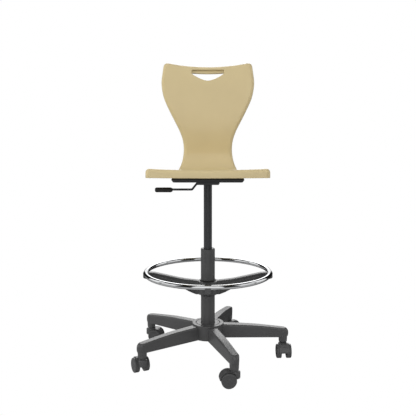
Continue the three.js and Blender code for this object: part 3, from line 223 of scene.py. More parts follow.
# The same for bright metals, and the size of their scratches
METALS = {
    "chrome": ((0.78, 0.79, 0.8), (0.7, 0.71, 0.72), (0.04, 0.12), 0.0012),
    "steel": ((0.46, 0.46, 0.47), (0.36, 0.36, 0.37), (0.22, 0.4), 0.0009),
}
finishes = {name: moulded(name, **look) for name, look in PLASTICS.items()}
finishes |= {name: coated(name, *look, metallic=0.2) for name, look in PAINTS.items()}
finishes |= {name: plated(name, *look) for name, look in METALS.items()}
finishes["rubber"] = rubbery("rubber", (0.012, 0.012, 0.012), (0.03, 0.03, 0.03))

# Meshes: points in millimetres and faces as lists of corners
ON_AXIS = 1e-6
WELD = 1e-7  # metres
NEARLY_STRAIGHT = radians(176)
ROOM_SHARE = 0.48  # how much of a side a corner's rounding may take
SHARPEST = 0.3  # holds back the mitre of an inset at sharp corners


def arc(centre, radius, start, end, steps):
    """Points on an arc between two angles, in degrees."""
    angles = np.radians(np.linspace(start, end, steps + 1))
    return [(centre[0] + radius * cos(a), centre[1] + radius * sin(a)) for a in angles]


def rounded(points, radii, steps, closed=False):
    """A line with its corners rounded off, with a radius for each corner."""
    count = len(points)
    out = []
    for i, point in enumerate(points):
        here = np.array(point, float)
        if radii[i] <= 0 or (not closed and i in (0, count - 1)):
            out.append(tuple(here))
            continue
        before = np.array(points[i - 1], float) - here
        after = np.array(points[(i + 1) % count], float) - here
        one, two = before / norm(before), after / norm(after)
        turn = math.acos(float(np.clip(one @ two, -1, 1)))
        if turn > NEARLY_STRAIGHT:
            out.append(tuple(here))
            continue
        room = ROOM_SHARE * min(norm(before), norm(after))
        run = min(radii[i] / math.tan(turn / 2), room)
        size = run * math.tan(turn / 2)
        middle = here + (one + two) / norm(one + two) * size / sin(turn / 2)
        start, end = here + one * run - middle, here + two * run - middle
        sweep = math.acos(float(np.clip(start @ end / (size * size), -1, 1)))
        for k in range(steps + 1):
            t = k / steps
            of_start = sin((1 - t) * sweep) / sin(sweep)
            of_end = sin(t * sweep) / sin(sweep)
            out.append(tuple(middle + start * of_start + end * of_end))
    return out


def turned(profile, sides):
    """A solid turned about Z from (radius, height) pairs, or a ring if it starts off the axis."""
    points, rings, faces = [], [], []
    for radius, height in profile:
        if radius < ON_AXIS:
            rings.append([len(points)])
            points.append((0.0, 0.0, height))
            continue
        rings.append(list(range(len(points), len(points) + sides)))
        for k in range(sides):
            angle = 2 * pi * k / sides
            points.append((radius * cos(angle), radius * sin(angle), height))
    pairs = list(zip(rings, rings[1:]))
    if profile[0][0] > ON_AXIS:
        pairs.append((rings[-1], rings[0]))
    for low, high in pairs:
        for k in range(sides):
            corners = [low[k % len(low)], low[(k + 1) % len(low)]]
            corners += [high[(k + 1) % len(high)], high[k % len(high)]]
            corners = list(dict.fromkeys(corners))
            if len(corners) > 2:
                faces.append(corners)
    return np.array(points), faces


def lofted(sections, closed=False):
    """A solid through a row of like closed sections, capped unless it closes on itself."""
    sections = np.array(sections, float)
    rows, count = sections.shape[:2]
    faces = []
    for i in range(rows if closed else rows - 1):
        for j in range(count):
            a, b = i * count, ((i + 1) % rows) * count
            faces.append([a + j, a + (j + 1) % count, b + (j + 1) % count, b + j])
    if not closed:
        faces.append(list(range(count))[::-1])
        faces.append(list(range((rows - 1) * count, rows * count)))
    return sections.reshape(-1, 3), faces


def inset(outline, amount):
    """A closed outline drawn in by an amount."""
    points = np.array(outline, float)
    ahead = np.roll(points, -1, 0)
    area = np.sum(points[:, 0] * ahead[:, 1] - ahead[:, 0] * points[:, 1])
    points = points if area > 0 else points[::-1]
    along = np.roll(points, -1, 0) - points
    along /= norm(along, axis=1)[:, None]
    normal = np.stack([-along[:, 1], along[:, 0]], 1)
    both = normal + np.roll(normal, 1, 0)
    both /= np.maximum((both * both).sum(1), SHARPEST)[:, None] / 2
    drawn = points + both * amount
    return drawn if area > 0 else drawn[::-1]


def quarter(size, steps):
    """A rounded edge as (depth below the face, amount drawn in) from the face to the side."""
    turns = np.radians(np.linspace(0, 90, steps + 1))
    return [(size * (1 - cos(t)), size * (1 - sin(t))) for t in turns]


def slab(outline, low, high, edge=0.0, steps=3):
    """A closed outline in X and Z, extruded along Y, with its two edges rounded."""
    if edge:
        lower = [(low + depth, drawn_in) for depth, drawn_in in quarter(edge, steps)]
        upper = [(high + low - y, drawn_in) for y, drawn_in in reversed(lower)]
    else:
        lower, upper = [(low, 0.0)], [(high, 0.0)]
    rings = [(y, inset(outline, drawn_in)) for y, drawn_in in lower + upper]
    return lofted([[(x, y, z) for x, z in ring] for y, ring in rings])


def box(low, high):
    (x0, y0, z0), (x1, y1, z1) = low, high
    return slab([(x0, z0), (x1, z0), (x1, z1), (x0, z1)], y0, y1)


def moved(mesh, turn=0.0, shift=(0.0, 0.0, 0.0)):
    """A mesh turned about Z by degrees, then shifted."""
    points, faces = mesh
    angle = radians(turn)
    c, s = cos(angle), sin(angle)
    return points @ np.array([[c, s, 0], [-s, c, 0], [0, 0, 1]]) + np.array(shift), faces


def along_y(mesh, x, z):
    """A mesh turned about Z, laid so that its axis runs along Y."""
    points, faces = mesh
    return np.stack([points[:, 0] + x, points[:, 2], -points[:, 1] + z], 1), faces


def mirrored(mesh):
    """A mesh mirrored in the plane through X and Z."""
    points, faces = mesh
    return points * np.array([1, -1, 1]), [face[::-1] for face in faces]


def repeated(mesh, count, first=0.0):
    """Copies of a mesh, spread evenly round Z."""
    return [moved(mesh, first + 360.0 * i / count) for i in range(count)]


def disc(radius, low, high, sides):
    return turned([(0, low), (radius, low), (radius, high), (0, high)], sides)


def sleeve(inside, outside, low, high, rounds, steps, sides):
    """A turned ring, solid where its inside is 0, with its two outer corners rounded."""
    corners = [(inside, low), (outside, low), (outside, high), (inside, high)]
    return turned(rounded(corners, [0, *rounds, 0], steps), sides)


def cross_rod(radius, low, high, x, z, sides):
    return along_y(disc(radius, low, high, sides), x, z)


def as_object(name, mesh):
    points, faces = mesh
    data = bpy.data.meshes.new(name)
    data.from_pydata((np.asarray(points) * MM).tolist(), [], faces)
    fine = bmesh.new()
    fine.from_mesh(data)
    bmesh.ops.remove_doubles(fine, verts=fine.verts, dist=WELD)
    bmesh.ops.recalc_face_normals(fine, faces=fine.faces)
    fine.to_mesh(data)
    fine.free()
    obj = bpy.data.objects.new(name, data)
    bpy.context.collection.objects.link(obj)
    return obj


def combined(base, *steps):
    """A base mesh with others joined to it, cut from it or crossed with it in turn."""
    obj = as_object("blank", base)
    tools = []
    for operation, meshes in steps:
        for mesh in meshes:
            tool = as_object("tool", mesh)
            tools.append(tool)
            modifier = obj.modifiers.new("work", "BOOLEAN")
            modifier.operation = operation
            modifier.object = tool
            modifier.solver = "MANIFOLD"
    graph = bpy.context.evaluated_depsgraph_get()
    made = obj.evaluated_get(graph).to_mesh()
    points = np.array([vertex.co for vertex in made.vertices]) / MM
    faces = [list(polygon.vertices) for polygon in made.polygons]
    for tool in [*tools, obj]:
        bpy.data.objects.remove(tool)
    return points, faces


ADD, CUT, KEEP = "UNION", "DIFFERENCE", "INTERSECT"
slots = {part["node"]: part["material_slot"] for part in frame["record"]["subparts"]}
names_on_bodies = frame["record"]["behaviour"]["bodies"].items()
bodies = {name: body for body, names in names_on_bodies for name in names}


def dress(name, mesh, node_name, angle=32.0):
    """A piece that stands for a CAD node: its body, its slot's material and crisp corners."""
    obj = as_object(name, mesh)
    obj.data.shade_smooth()
    obj.data.set_sharp_from_angle(angle=radians(angle))
    obj.data.materials.clear()
    obj.data.materials.append(finishes[slots[node_name]])
    flats = obj.modifiers.new("flat faces stay flat", "WEIGHTED_NORMAL")
    flats.keep_sharp = True
    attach(obj, bodies[node_name])
    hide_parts(node_name)


# Sizes that several pieces share, in millimetres
ARM_UNDERSIDE, HUB_BOTTOM, HUB_TOP, HUB_RADIUS = 73.7, 73.0, 126.0, 57.0
TUBE_BOTTOM, TUBE_TOP, TUBE_INSIDE = 73, 395.8, 22.6
HOUSING_BOTTOM, PLATE_BOTTOM, PLATE_TOP = 627.5, 639.2, 655.0
RING_HEIGHT, RING_RADIUS, RING_TUBE = 311.0, 220.0, 8.3
SCREW_PLACES = ((-75, -60), (75, -60), (75, 60), (-75, 60))
SCREW_HOLE = 3.4
ROUND = 96


# Seat shell
FRONT_REACH, DEPTH, RISE, HALF_WIDTH = 200.0, 415.0, 417.0, 200.0
WALL, RIM_RADIUS, FLANGE, FLANGE_LOSS = 5.0, 13.0, 12.8, 4.8
CORNER, TOP_CORNER = 14.0, 17.0
SADDLE, BACK_WRAP, TOP_DIP = 6.0, 10.0, 16.5  # how far the sides and the top edge curve
OUTLINE_STEPS, ROW_STEPS, COLUMN_STEPS = 240, 150, 44

# The middle of the shell from the seat's front edge to the back's top edge: shares of the
# depth, the rise and the half width
EDGE_SHARES = [
    (0.0, 0.0731, 0.992), (0.12, 0.0647, 0.992), (0.301, 0.0511, 0.992),
    (0.482, 0.0371, 0.978), (0.643, 0.0252, 0.9002), (0.759, 0.0182, 0.7503),
    (0.834, 0.0276, 0.5955), (0.887, 0.0611, 0.5379), (0.919, 0.1103, 0.4923),
    (0.929, 0.163, 0.4675), (0.925, 0.2194, 0.46), (0.914, 0.2974, 0.48),
    (0.905, 0.3861, 0.5449), (0.905, 0.4748, 0.6352), (0.913, 0.5743, 0.7374),
    (0.928, 0.6834, 0.8327), (0.948, 0.8022, 0.8744), (0.973, 0.9005, 0.8575),
    (1.0, 1.0, 0.8297),
]
TOP_WIDTH = EDGE_SHARES[-1][2]

# Columns of the centre line's table, and its rows along the seat
ALONG, WIDTH, BACK, UP, FACING_BACK, FACING_UP = range(6)
SEAT_ROWS = slice(1, 500)


def spline(points, samples, held=False):
    """A smooth line through points. Held, it starts and ends less steeply."""
    points = np.array(points, float)
    first, last = points[0], points[-1]
    if not held:
        first, last = 2 * points[0] - points[1], 2 * points[-1] - points[-2]
    full = np.vstack([first, points, last])
    place = np.linspace(0, len(points) - 1, samples + 1)
    i = np.minimum(place.astype(int), len(points) - 2)
    t = (place - i)[:, None]
    a, b, c, d = full[i], full[i + 1], full[i + 2], full[i + 3]
    square, cube = 2 * a - 5 * b + 4 * c - d, 3 * b - a - 3 * c + d
    return 0.5 * (2 * b + (c - a) * t + square * t * t + cube * t * t * t)


def centre_line():
    """The centre line's table and its length. Its end rows run on straight past the shell."""
    samples, run_on = 960, 40.0
    shares = np.array(EDGE_SHARES)
    points = np.stack([
        shares[:, 2] * HALF_WIDTH,
        shares[:, 0] * DEPTH - FRONT_REACH,
        PLATE_TOP + shares[:, 1] * RISE,
    ], 1)
    line = spline(points, samples)
    steps = np.hypot(np.diff(line[:, 1]), np.diff(line[:, 2]))
    distance = np.concatenate([[0], np.cumsum(steps)])
    slope = np.gradient(line[:, 1:], axis=0)
    slope /= norm(slope, axis=1)[:, None]
    table = np.column_stack([distance, line, -slope[:, 1], slope[:, 0]])
    first, last = table[0].copy(), table[-1].copy()
    widening = (line[1, 0] - line[0, 0]) / steps[0], (line[-1, 0] - line[-2, 0]) / steps[-1]
    first[:4] -= run_on * np.array([1, widening[0], *slope[0]])
    last[:4] += run_on * np.array([1, widening[1], *slope[-1]])
    return np.vstack([first, table, last]), distance[-1]


CENTRE, SHELL_LENGTH = centre_line()


def smooth_share(value, start, end):
    """From zero to one between start and end, without a kink."""
    t = np.clip((value - start) / (end - start), 0, 1)
    return t * t * (3 - 2 * t)


def centre_at(distance, column):
    return np.interp(distance, CENTRE[:, ALONG], CENTRE[:, column])


def corner_loss(radius, drawn_in, distance):
    """How much half width a rounded corner takes away at a distance from the end."""
    left = radius - drawn_in
    rest = np.maximum(left * left - (radius - np.minimum(distance, radius)) ** 2, 0)
    return np.where(distance >= radius, 0, left - np.sqrt(rest))


def half_width_at(distance, drawn_in):
    slope = centre_at(distance + WALL, WIDTH) - centre_at(distance - WALL, WIDTH)
    slope = slope / (WALL * 2)
    loss = corner_loss(CORNER, drawn_in, distance)
    loss = loss + corner_loss(TOP_CORNER, drawn_in, SHELL_LENGTH - distance)
    return centre_at(distance, WIDTH) - drawn_in * np.hypot(1, slope) - loss


def saddle_at(share):
    """How far the sides rise above the middle, which fades out where the back begins."""
    return SADDLE * (1 - smooth_share(share, 0.33, 0.45))


def rim_depth(distance, x):
    """How far the rim's foot lies behind the sitter's face."""
    share = distance / SHELL_LENGTH
    flange = FLANGE - FLANGE_LOSS * smooth_share(share, 0.15, 0.35)
    return RIM_RADIUS + flange + 0.75 * saddle_at(share) * (x / HALF_WIDTH) ** 2


def shell_point(distance, x, depth):
    """Points of the shell: across by x, and behind the sitter's face by depth."""
    distance, x, depth = np.broadcast_arrays(np.asarray(distance, float), x, depth)
    share = distance / SHELL_LENGTH
    across = np.minimum(np.abs(x) / (HALF_WIDTH * TOP_WIDTH), 1)
    line = distance - TOP_DIP * smooth_share(share, 0.8, 1.0) * (1 - across * across)
    lift = saddle_at(share) + BACK_WRAP * smooth_share(share, 0.6, 0.8)
    lift = lift * (x / HALF_WIDTH) ** 2 - depth
    y = centre_at(line, BACK) + centre_at(line, FACING_BACK) * lift
    z = centre_at(line, UP) + centre_at(line, FACING_UP) * lift
    return np.stack([x, y, z], -1)


def grid_stops(start, end, band, steps):
    """Places along a grid, closer together in the bands at its two ends."""
    rim = band * (1 - np.cos(np.linspace(0, pi / 2, 9)))
    middle = np.linspace(start + band, end - band, steps + 1)[1:-1]
    return np.concatenate([start + rim, middle, (end - rim)[::-1]])


def edge_distance(distance, x):
    """How far points of the flattened shell lie in from its outline."""
    stops = grid_stops(0, SHELL_LENGTH, CORNER, OUTLINE_STEPS)
    rim = np.stack([stops, half_width_at(stops, 0)], 1)
    run = np.diff(rim, axis=0)
    point = np.stack([distance, np.abs(x)], -1)
    least = np.minimum(distance, SHELL_LENGTH - distance)
    for a, d in zip(rim, run):
        t = np.clip(((point - a) @ d) / (d @ d), 0, 1)
        least = np.minimum(least, norm(point - a - t[..., None] * d, axis=-1))
    return least


def shell_face(drawn_in):
    """One face of the shell: the distance, x and depth of each point of a grid."""
    radius = RIM_RADIUS - drawn_in
    rows = grid_stops(drawn_in, SHELL_LENGTH - drawn_in, radius, ROW_STEPS)
    half = half_width_at(rows, drawn_in)
    x = np.array([grid_stops(-h, h, radius, COLUMN_STEPS) for h in half])
    distance = np.repeat(rows[:, None], x.shape[1], 1)
    near = np.clip(edge_distance(distance, x) - drawn_in, 0, radius)
    depth = drawn_in + radius - np.sqrt(radius * radius - (radius - near) ** 2)
    return distance, x, depth


def border(grid):
    """Values round the edge of a grid, in order."""
    return np.concatenate([grid[0], grid[1:-1, -1], grid[-1][::-1], grid[1:-1, 0][::-1]])


def shell_skin():
    """The closed skin of the shell: its two faces, joined round the soft foot of the rim."""
    fronts, backs = shell_face(0.0), shell_face(WALL)
    rows, columns = fronts[0].shape
    points = [shell_point(*fronts).reshape(-1, 3), shell_point(*backs).reshape(-1, 3)]
    index = np.arange(rows * columns).reshape(rows, columns)
    corners = [index[:-1, :-1], index[:-1, 1:], index[1:, 1:], index[1:, :-1]]
    quads = np.stack(corners, -1).reshape(-1, 4)
    faces = []
    for offset, flip in ((0, 1), (rows * columns, -1)):
        faces += (quads[:, ::flip] + offset).tolist()
    ends = [np.stack([border(part) for part in face], 1) for face in (fronts, backs)]
    soft, straight = 1.3, 5.0
    outer = quarter(soft, 3)
    inner = [(WALL - drawn_in, rise) for drawn_in, rise in reversed(outer)]
    chain = [border(index)]
    total = 2 * rows * columns
    for drawn_in, rise in [(0.0, straight)] + outer + inner + [(WALL, straight)]:
        share = drawn_in / WALL
        at = ends[0] * (1 - share) + ends[1] * share
        points.append(shell_point(at[:, 0], at[:, 1], rim_depth(at[:, 0], at[:, 1]) - rise))
        chain.append(np.arange(total, total + len(at)))
        total += len(at)
    chain.append(border(index) + rows * columns)
    for one, two in zip(chain, chain[1:]):
        for k in range(len(one)):
            n = (k + 1) % len(one)
            faces.append([int(one[k]), int(two[k]), int(two[n]), int(one[n])])
    return np.vstack(points), faces


def face_y(x, z):
    """How far back the sitter's face lies at heights near the top."""
    distance = np.linspace(SHELL_LENGTH * 0.8, SHELL_LENGTH, 200)
    out = []
    for one_x, one_z in zip(x, z):
        line = shell_point(distance, one_x, 0.0)
        out.append(np.interp(one_z, line[:, 2], line[:, 1]))
    return np.array(out)


def hand_slot():
    """The cutter of the hand slot: a band with a smile under it, flared at both faces."""
    top, half, band_foot, drop, corner = 1042.2, 61.0, 1031.1, 29.7, 5.0
    soft, lean = 1.4, 1.03
    # The smile's right side: shares of its half width and of its drop
    shares = [(0.985, 0.06), (0.943, 0.185), (0.77, 0.428), (0.467, 0.751), (0.164, 0.96)]
    right = [(half * across, band_foot - drop * down) for across, down in shares]
    left = [(-x, z) for x, z in reversed(right)]
    smile = [(half, band_foot)] + right + [(0.0, band_foot - drop)] + left + [(-half, band_foot)]
    outline = arc((corner - half, top - corner), corner, 180, 90, 6)
    outline += arc((half - corner, top - corner), corner, 90, 0, 6)
    outline += [tuple(point) for point in spline(smile, 96)]
    flares = quarter(soft, 4)
    stops = [(-6.0, soft)] + flares
    stops += [(WALL - depth, flare) for depth, flare in reversed(flares)] + [(WALL + 3.0, soft)]
    sections = []
    for depth, flare in stops:
        x, z = inset(outline, -flare).T
        sections.append(np.column_stack([x, face_y(x, z) + depth * lean, z]))
    return lofted(sections)


def rear_lip():
    """The lip that hangs down behind the hand slot from the top rim."""
    half, end_round, foot_round = 72.0, 6.0, 1.5
    root, drop, front, back = 0.4, 26.2, 9.0, 16.5
    near_foot = 10.0  # only this far below the rim and lower is the lip rounded at its ends
    corners = [(root, back), (root, front), (drop, front), (drop, back)]
    corners = rounded(corners, [0, 0, foot_round, foot_round], 4, closed=True)
    sections = []
    for x in np.linspace(-half, half, 37):
        rim = shell_point(SHELL_LENGTH, x, 0.0)
        away = shell_point(SHELL_LENGTH, x, WALL) - rim
        away /= norm(away)
        down = np.array([0, away[2], -away[1]])
        end = min(half - abs(x), end_round)
        lost = end_round - math.sqrt(end_round**2 - (end_round - end) ** 2)
        sections.append([
            rim + down * (fall - lost * (fall > near_foot)) + away * depth
            for fall, depth in corners
        ])
    return lofted(sections)


def seat_shell():
    foot_radius, head_radius = 9.0, 9.6
    bosses, holes = [], []
    foot = PLATE_TOP + 0.3
    for x, y in SCREW_PLACES:
        head = float(np.interp(y, CENTRE[SEAT_ROWS, BACK], CENTRE[SEAT_ROWS, UP])) - WALL / 2
        profile = [(0, foot), (foot_radius, foot), (head_radius, head), (0, head)]
        profile = rounded(profile, [0, 0.8, 0, 0], 3)
        bosses.append(moved(turned(profile, 40), shift=(x, y, 0)))
        holes.append(moved(disc(SCREW_HOLE, foot - 2, foot + 9, 24), shift=(x, y, 0)))
    adding = (ADD, [rear_lip()] + bosses)
    shell = combined(shell_skin(), (CUT, [hand_slot()]), adding, (CUT, holes))
    dress("seat_shell_moulding", shell, "seat_shell", 40)


seat_shell()


# Base
CASTOR_CIRCLE = 272.0
AT_CASTOR = (CASTOR_CIRCLE, 0, 0)
ARM_START, ARM_ROOT, ARM_TIP = 40.0, 35.0, 29.0
ARM_TOP = spline([(ARM_START, 122.0), (158.0, 117.7), (CASTOR_CIRCLE, 106.4)], 48, held=True)
NECK_RADIUS = 15.5
STEM_HOLE = 5.65


def tapered(mesh):
    """Narrows a mesh drawn at the arm's root width towards the arm's tip."""
    points, faces = mesh
    run = (points[:, 0] - HUB_RADIUS) / (CASTOR_CIRCLE - HUB_RADIUS)
    points = points.copy()
    points[:, 1] *= (ARM_ROOT + (ARM_TIP - ARM_ROOT) * run) / ARM_ROOT
    return points, faces


def arm_nose():
    """The nose that closes an arm over its castor, rounded more at its front than its sides."""
    longest, widest = 19.4, NECK_RADIUS
    swell, top_height, top_fall = 12.3, 106.35, 0.099
    turns = np.linspace(-pi / 2, pi / 2, 33)
    front = np.cos(turns) ** 2
    reach = longest * widest / np.hypot(widest * np.cos(turns), longest * np.sin(turns))
    foot_round = 0.8 + 3.7 * front
    top_round, top_round_height = 6.7 + 5.8 * front, 6.7 + 9.3 * front

    def ring(drawn_in, height):
        x, y = (reach - drawn_in) * np.cos(turns), (reach - drawn_in) * np.sin(turns)
        back = [(-6.0, y[-1] * 0.8, height[-1] - 0.3), (-6.0, y[0] * 0.8, height[0] - 0.3)]
        return list(zip(x, y, height)) + back

    sections = []
    for lift in np.radians(np.linspace(-90, 0, 9)):
        drawn_in = foot_round * (1 - cos(lift))
        height = ARM_UNDERSIDE + swell * (1 + sin(lift)) * np.ones(len(turns))
        sections.append(ring(drawn_in, height))
    for lift in np.radians(np.linspace(0, 90, 13)):
        drawn_in = top_round * (1 - cos(lift))
        top = top_height - top_fall * (reach - drawn_in) * np.cos(turns)
        sections.append(ring(drawn_in, top - top_round_height * (1 - sin(lift))))
    return moved(lofted(sections), shift=AT_CASTOR)


def base_arm():
    """An arm along +X, with its nose and the neck that takes the castor's stem."""
    foot, end, end_height = ARM_UNDERSIDE - 12.0, CASTOR_CIRCLE + 5.0, 105.9
    neck_foot, neck_top = 54.8, 99.1
    top = [tuple(point) for point in ARM_TOP]
    outline = [(ARM_START, foot)] + top + [(end, end_height), (end, foot)]
    blank = tapered(slab(outline[::-1], -ARM_ROOT / 2, ARM_ROOT / 2, 6.0, 7))
    body = combined(blank, (KEEP, [box((0, -40, ARM_UNDERSIDE), (CASTOR_CIRCLE, 40, 130))]))
    neck = [(0, neck_foot), (14.8, neck_foot), (NECK_RADIUS, ARM_UNDERSIDE)]
    neck += [(NECK_RADIUS, neck_top), (0, neck_top)]
    neck = turned(rounded(neck, [0, 1.2, 0, 0, 0], 4), 64)
    return combined(body, (ADD, [arm_nose(), moved(neck, shift=AT_CASTOR)]))


def arm_pocket():
    """The hollow under an arm, with seven cross ribs and a shallow lengthwise one left in it."""
    start, end, foot = HUB_RADIUS, CASTOR_CIRCLE - 18.7, ARM_UNDERSIDE - 2.0
    roof, bays, half_rib, above = 5.0, 8, 1.2, 130
    between = [(x, z - roof) for x, z in ARM_TOP if start < x < end]

    def ceiling(x):
        return x, float(np.interp(x, ARM_TOP[:, 0], ARM_TOP[:, 1])) - roof

    outline = [(start, foot), ceiling(start)] + between + [ceiling(end), (end, foot)]
    pocket = tapered(slab(outline[::-1], -14.3, 14.3, 2.0, 3))
    ribs = []
    for i in range(1, bays):
        x = start + (end - start) * i / bays
        low = foot - 1 if i % 2 == 0 else ARM_UNDERSIDE + 12.0
        ribs.append(box((x - half_rib, -20, low), (x + half_rib, 20, above)))
    ribs.append(box((start, -half_rib, ARM_UNDERSIDE + 18.0), (end, half_rib, above)))
    return combined(pocket, (CUT, ribs))


def base_star():
    sleeve_hole, sleeve_top, cap_hole = 29.8 + 0.3, 122.3, 25.4
    hub = [(sleeve_hole, HUB_BOTTOM), (HUB_RADIUS, HUB_BOTTOM), (HUB_RADIUS, HUB_TOP)]
    hub += [(44.1, HUB_TOP), (42.6, HUB_TOP - 2.2), (41.1, HUB_TOP), (cap_hole, HUB_TOP)]
    hub += [(cap_hole, sleeve_top), (sleeve_hole, sleeve_top)]
    hub = rounded(hub, [0, 1.5, 1.8, 0.3, 0.4, 0.3, 0.8, 0, 0], 5)
    core = disc(31.8, 0, HUB_TOP, 96)
    arm = combined(base_arm(), (CUT, [core]))
    ceiling = 117
    hollow = [(34.3, 70), (53, 70), (53, ceiling), (34.3, ceiling)]
    hollow = turned(rounded(hollow, [0, 0, 2.0, 2.0], 4), 96)
    ribs = repeated(box((0, -1.5, 60), (HUB_RADIUS, 1.5, ceiling + 0.5)), 5, 36)
    hollow = combined(hollow, (CUT, ribs))
    bore = moved(disc(STEM_HOLE, 50, 95.8, 32), shift=AT_CASTOR)
    cuts = repeated(arm_pocket(), 5) + repeated(bore, 5) + [hollow]
    star = combined(turned(hub, 128), (ADD, repeated(arm, 5)), (CUT, cuts))
    dress("five_arm_base", star, "base_star", 30)


base_star()


# Column
def column_pieces():
    rod_hole, outside, floor = 5.2, 25.0, TUBE_BOTTOM + 3
    tube = [(rod_hole, TUBE_BOTTOM), (24.3, TUBE_BOTTOM), (outside, 122), (outside, TUBE_TOP)]
    tube += [(TUBE_INSIDE, TUBE_TOP), (TUBE_INSIDE, floor), (rod_hole, floor)]
    tube = rounded(tube, [0, 1.0, 0, 0.6, 0.6, 1.0, 0], 5)
    dress("column_tube", turned(tube, ROUND), "standpipe")

    inside, outside, foot, flange, top = 14.7, 22.1, 317, 396.1, 397.0
    bush = [(inside, foot), (outside, foot), (outside, flange)]
    bush += [(24.0, flange), (24.0, top), (inside, top)]
    bush = rounded(bush, [0, 0.5, 0, 0.2, 0.4, 0], 4)
    dress("column_mouth_bush", turned(bush, ROUND), "column_bush")

    inside, outside, foot, head, top = 12.6, 14.6, 325, 606, 638
    cylinder = [(inside, foot), (outside, foot), (outside, 627), (13.9, top)]
    cylinder += [(3.1, top), (3.1, head), (inside, head)]
    cylinder = rounded(cylinder, [0, 0.5, 0, 0.5, 0.2, 0, 0], 4)
    dress("gas_spring_cylinder", turned(cylinder, ROUND), "gas_cylinder")


column_pieces()


# Mechanism and lever
PIVOT_X, PIVOT_Z, PIVOT_HOLE, GRIP_Z = -23.3, 646.6, 2.1, 605.8
PLATE_HALF, PLATE_FRONT, PLATE_BACK, PLATE_CORNER = 122.6, -100.0, 92.0, 14.0


def pivot_bore():
    return cross_rod(PIVOT_HOLE, -15, 15, PIVOT_X, PIVOT_Z, 32)


def mechanism_housing():
    half, top, wall, chamfer = 40.0, PLATE_BOTTOM + 12.9, 2.6, 4.0
    front, back = -62, 58

    def section(drawn_in, head):
        low = HOUSING_BOTTOM + drawn_in
        side = half - drawn_in
        points = [(-side, low), (half - chamfer, low), (side, HOUSING_BOTTOM + chamfer)]
        points += [(side, head), (-side, head)]
        return rounded(points, [2.2 - drawn_in / 2, 2.0, 2.0, 0, 0], 4, closed=True)

    blank = slab(section(0.0, top), front, back, 1.6, 4)
    room = slab(section(wall, top + 2), wall + front, back - wall, 1.0, 2)
    ear_radius, ear_foot = 4.0, 628.8
    ears = []
    for low, high in ((-9.9, -7.3), (7.3, 9.9)):
        ear = [(PIVOT_X - ear_radius, ear_foot), (PIVOT_X + ear_radius, ear_foot)]
        ear += arc((PIVOT_X, PIVOT_Z), ear_radius, 0, 180, 16)
        ears.append(slab(ear, low, high, 0.3, 2))
    socket_hole = disc(18.5, 620, 631.1, 64)
    slot = [(-46, 620), (-26, 620), (-26, 643.1), (-46, 643.1)]
    slot = rounded(slot, [0, 2, 2, 0], 4, closed=True)
    cuts = [pivot_bore(), socket_hole, slab(slot, -5.5, 5.5, 0.0)]
    housing = combined(combined(blank, (CUT, [room])), (ADD, ears), (CUT, cuts))
    dress("tilt_free_housing", housing, "mechanism_housing", 30)


def plate_ring(drawn_in, z):
    """The plate's outline, drawn in, at a height."""
    half, corner = PLATE_HALF - drawn_in, PLATE_CORNER - drawn_in
    front, back, right = PLATE_FRONT + drawn_in, PLATE_BACK - drawn_in, half - corner
    low, high = front + corner, back - corner
    outline = []
    for i, centre in enumerate([(right, high), (-right, high), (-right, low), (right, low)]):
        outline += arc(centre, corner, i * 90, i * 90 + 90, 10)
    return [(x, y, z) for x, y in outline]


def mounting_plate():
    """The plate as a pan, open underneath, with a bevel above and one below its edge."""
    low, tip_low, tip_high = PLATE_BOTTOM - 0.9, PLATE_BOTTOM + 6.4, PLATE_BOTTOM + 8.8
    wall, furthest_in = 2.6, 13.5
    corners = [(20.0, low), (5.6, low), (0.0, tip_low)]
    corners += [(0.0, tip_high), (3.6, PLATE_TOP), (20.0, PLATE_TOP)]
    edge = rounded(corners, [0, 2.4, 3.0, 3.0, 1.6, 0], 5)
    outer = lofted([plate_ring(d, z) for d, z in edge if d < furthest_in])
    room = [(9.0, low - 2), (9.0, low), (wall, tip_low), (wall, tip_high), (4.64, PLATE_TOP - wall)]
    room = lofted([plate_ring(d, z) for d, z in room])
    hole = disc(SCREW_HOLE, 650, 657, 32)
    holes = [moved(hole, shift=(x, y, 0)) for x, y in SCREW_PLACES]
    plate = combined(outer, (CUT, [room, *holes]))
    dress("seat_mounting_plate", plate, "mounting_plate", 30)


def rod_along(path, radii, sides):
    """A round rod along a path of (x, z) points, with a radius at each of them."""
    path = np.array(path)
    along = np.gradient(path, axis=0)
    along /= norm(along, axis=1)[:, None]
    angles = np.linspace(0, 2 * pi, sides, endpoint=False)
    sections = []
    for (x, z), (dx, dz), radius in zip(path, along, radii):
        out = radius * np.cos(angles)
        sections.append(np.column_stack([x - dz * out, radius * np.sin(angles), z + dx * out]))
    return lofted(sections)


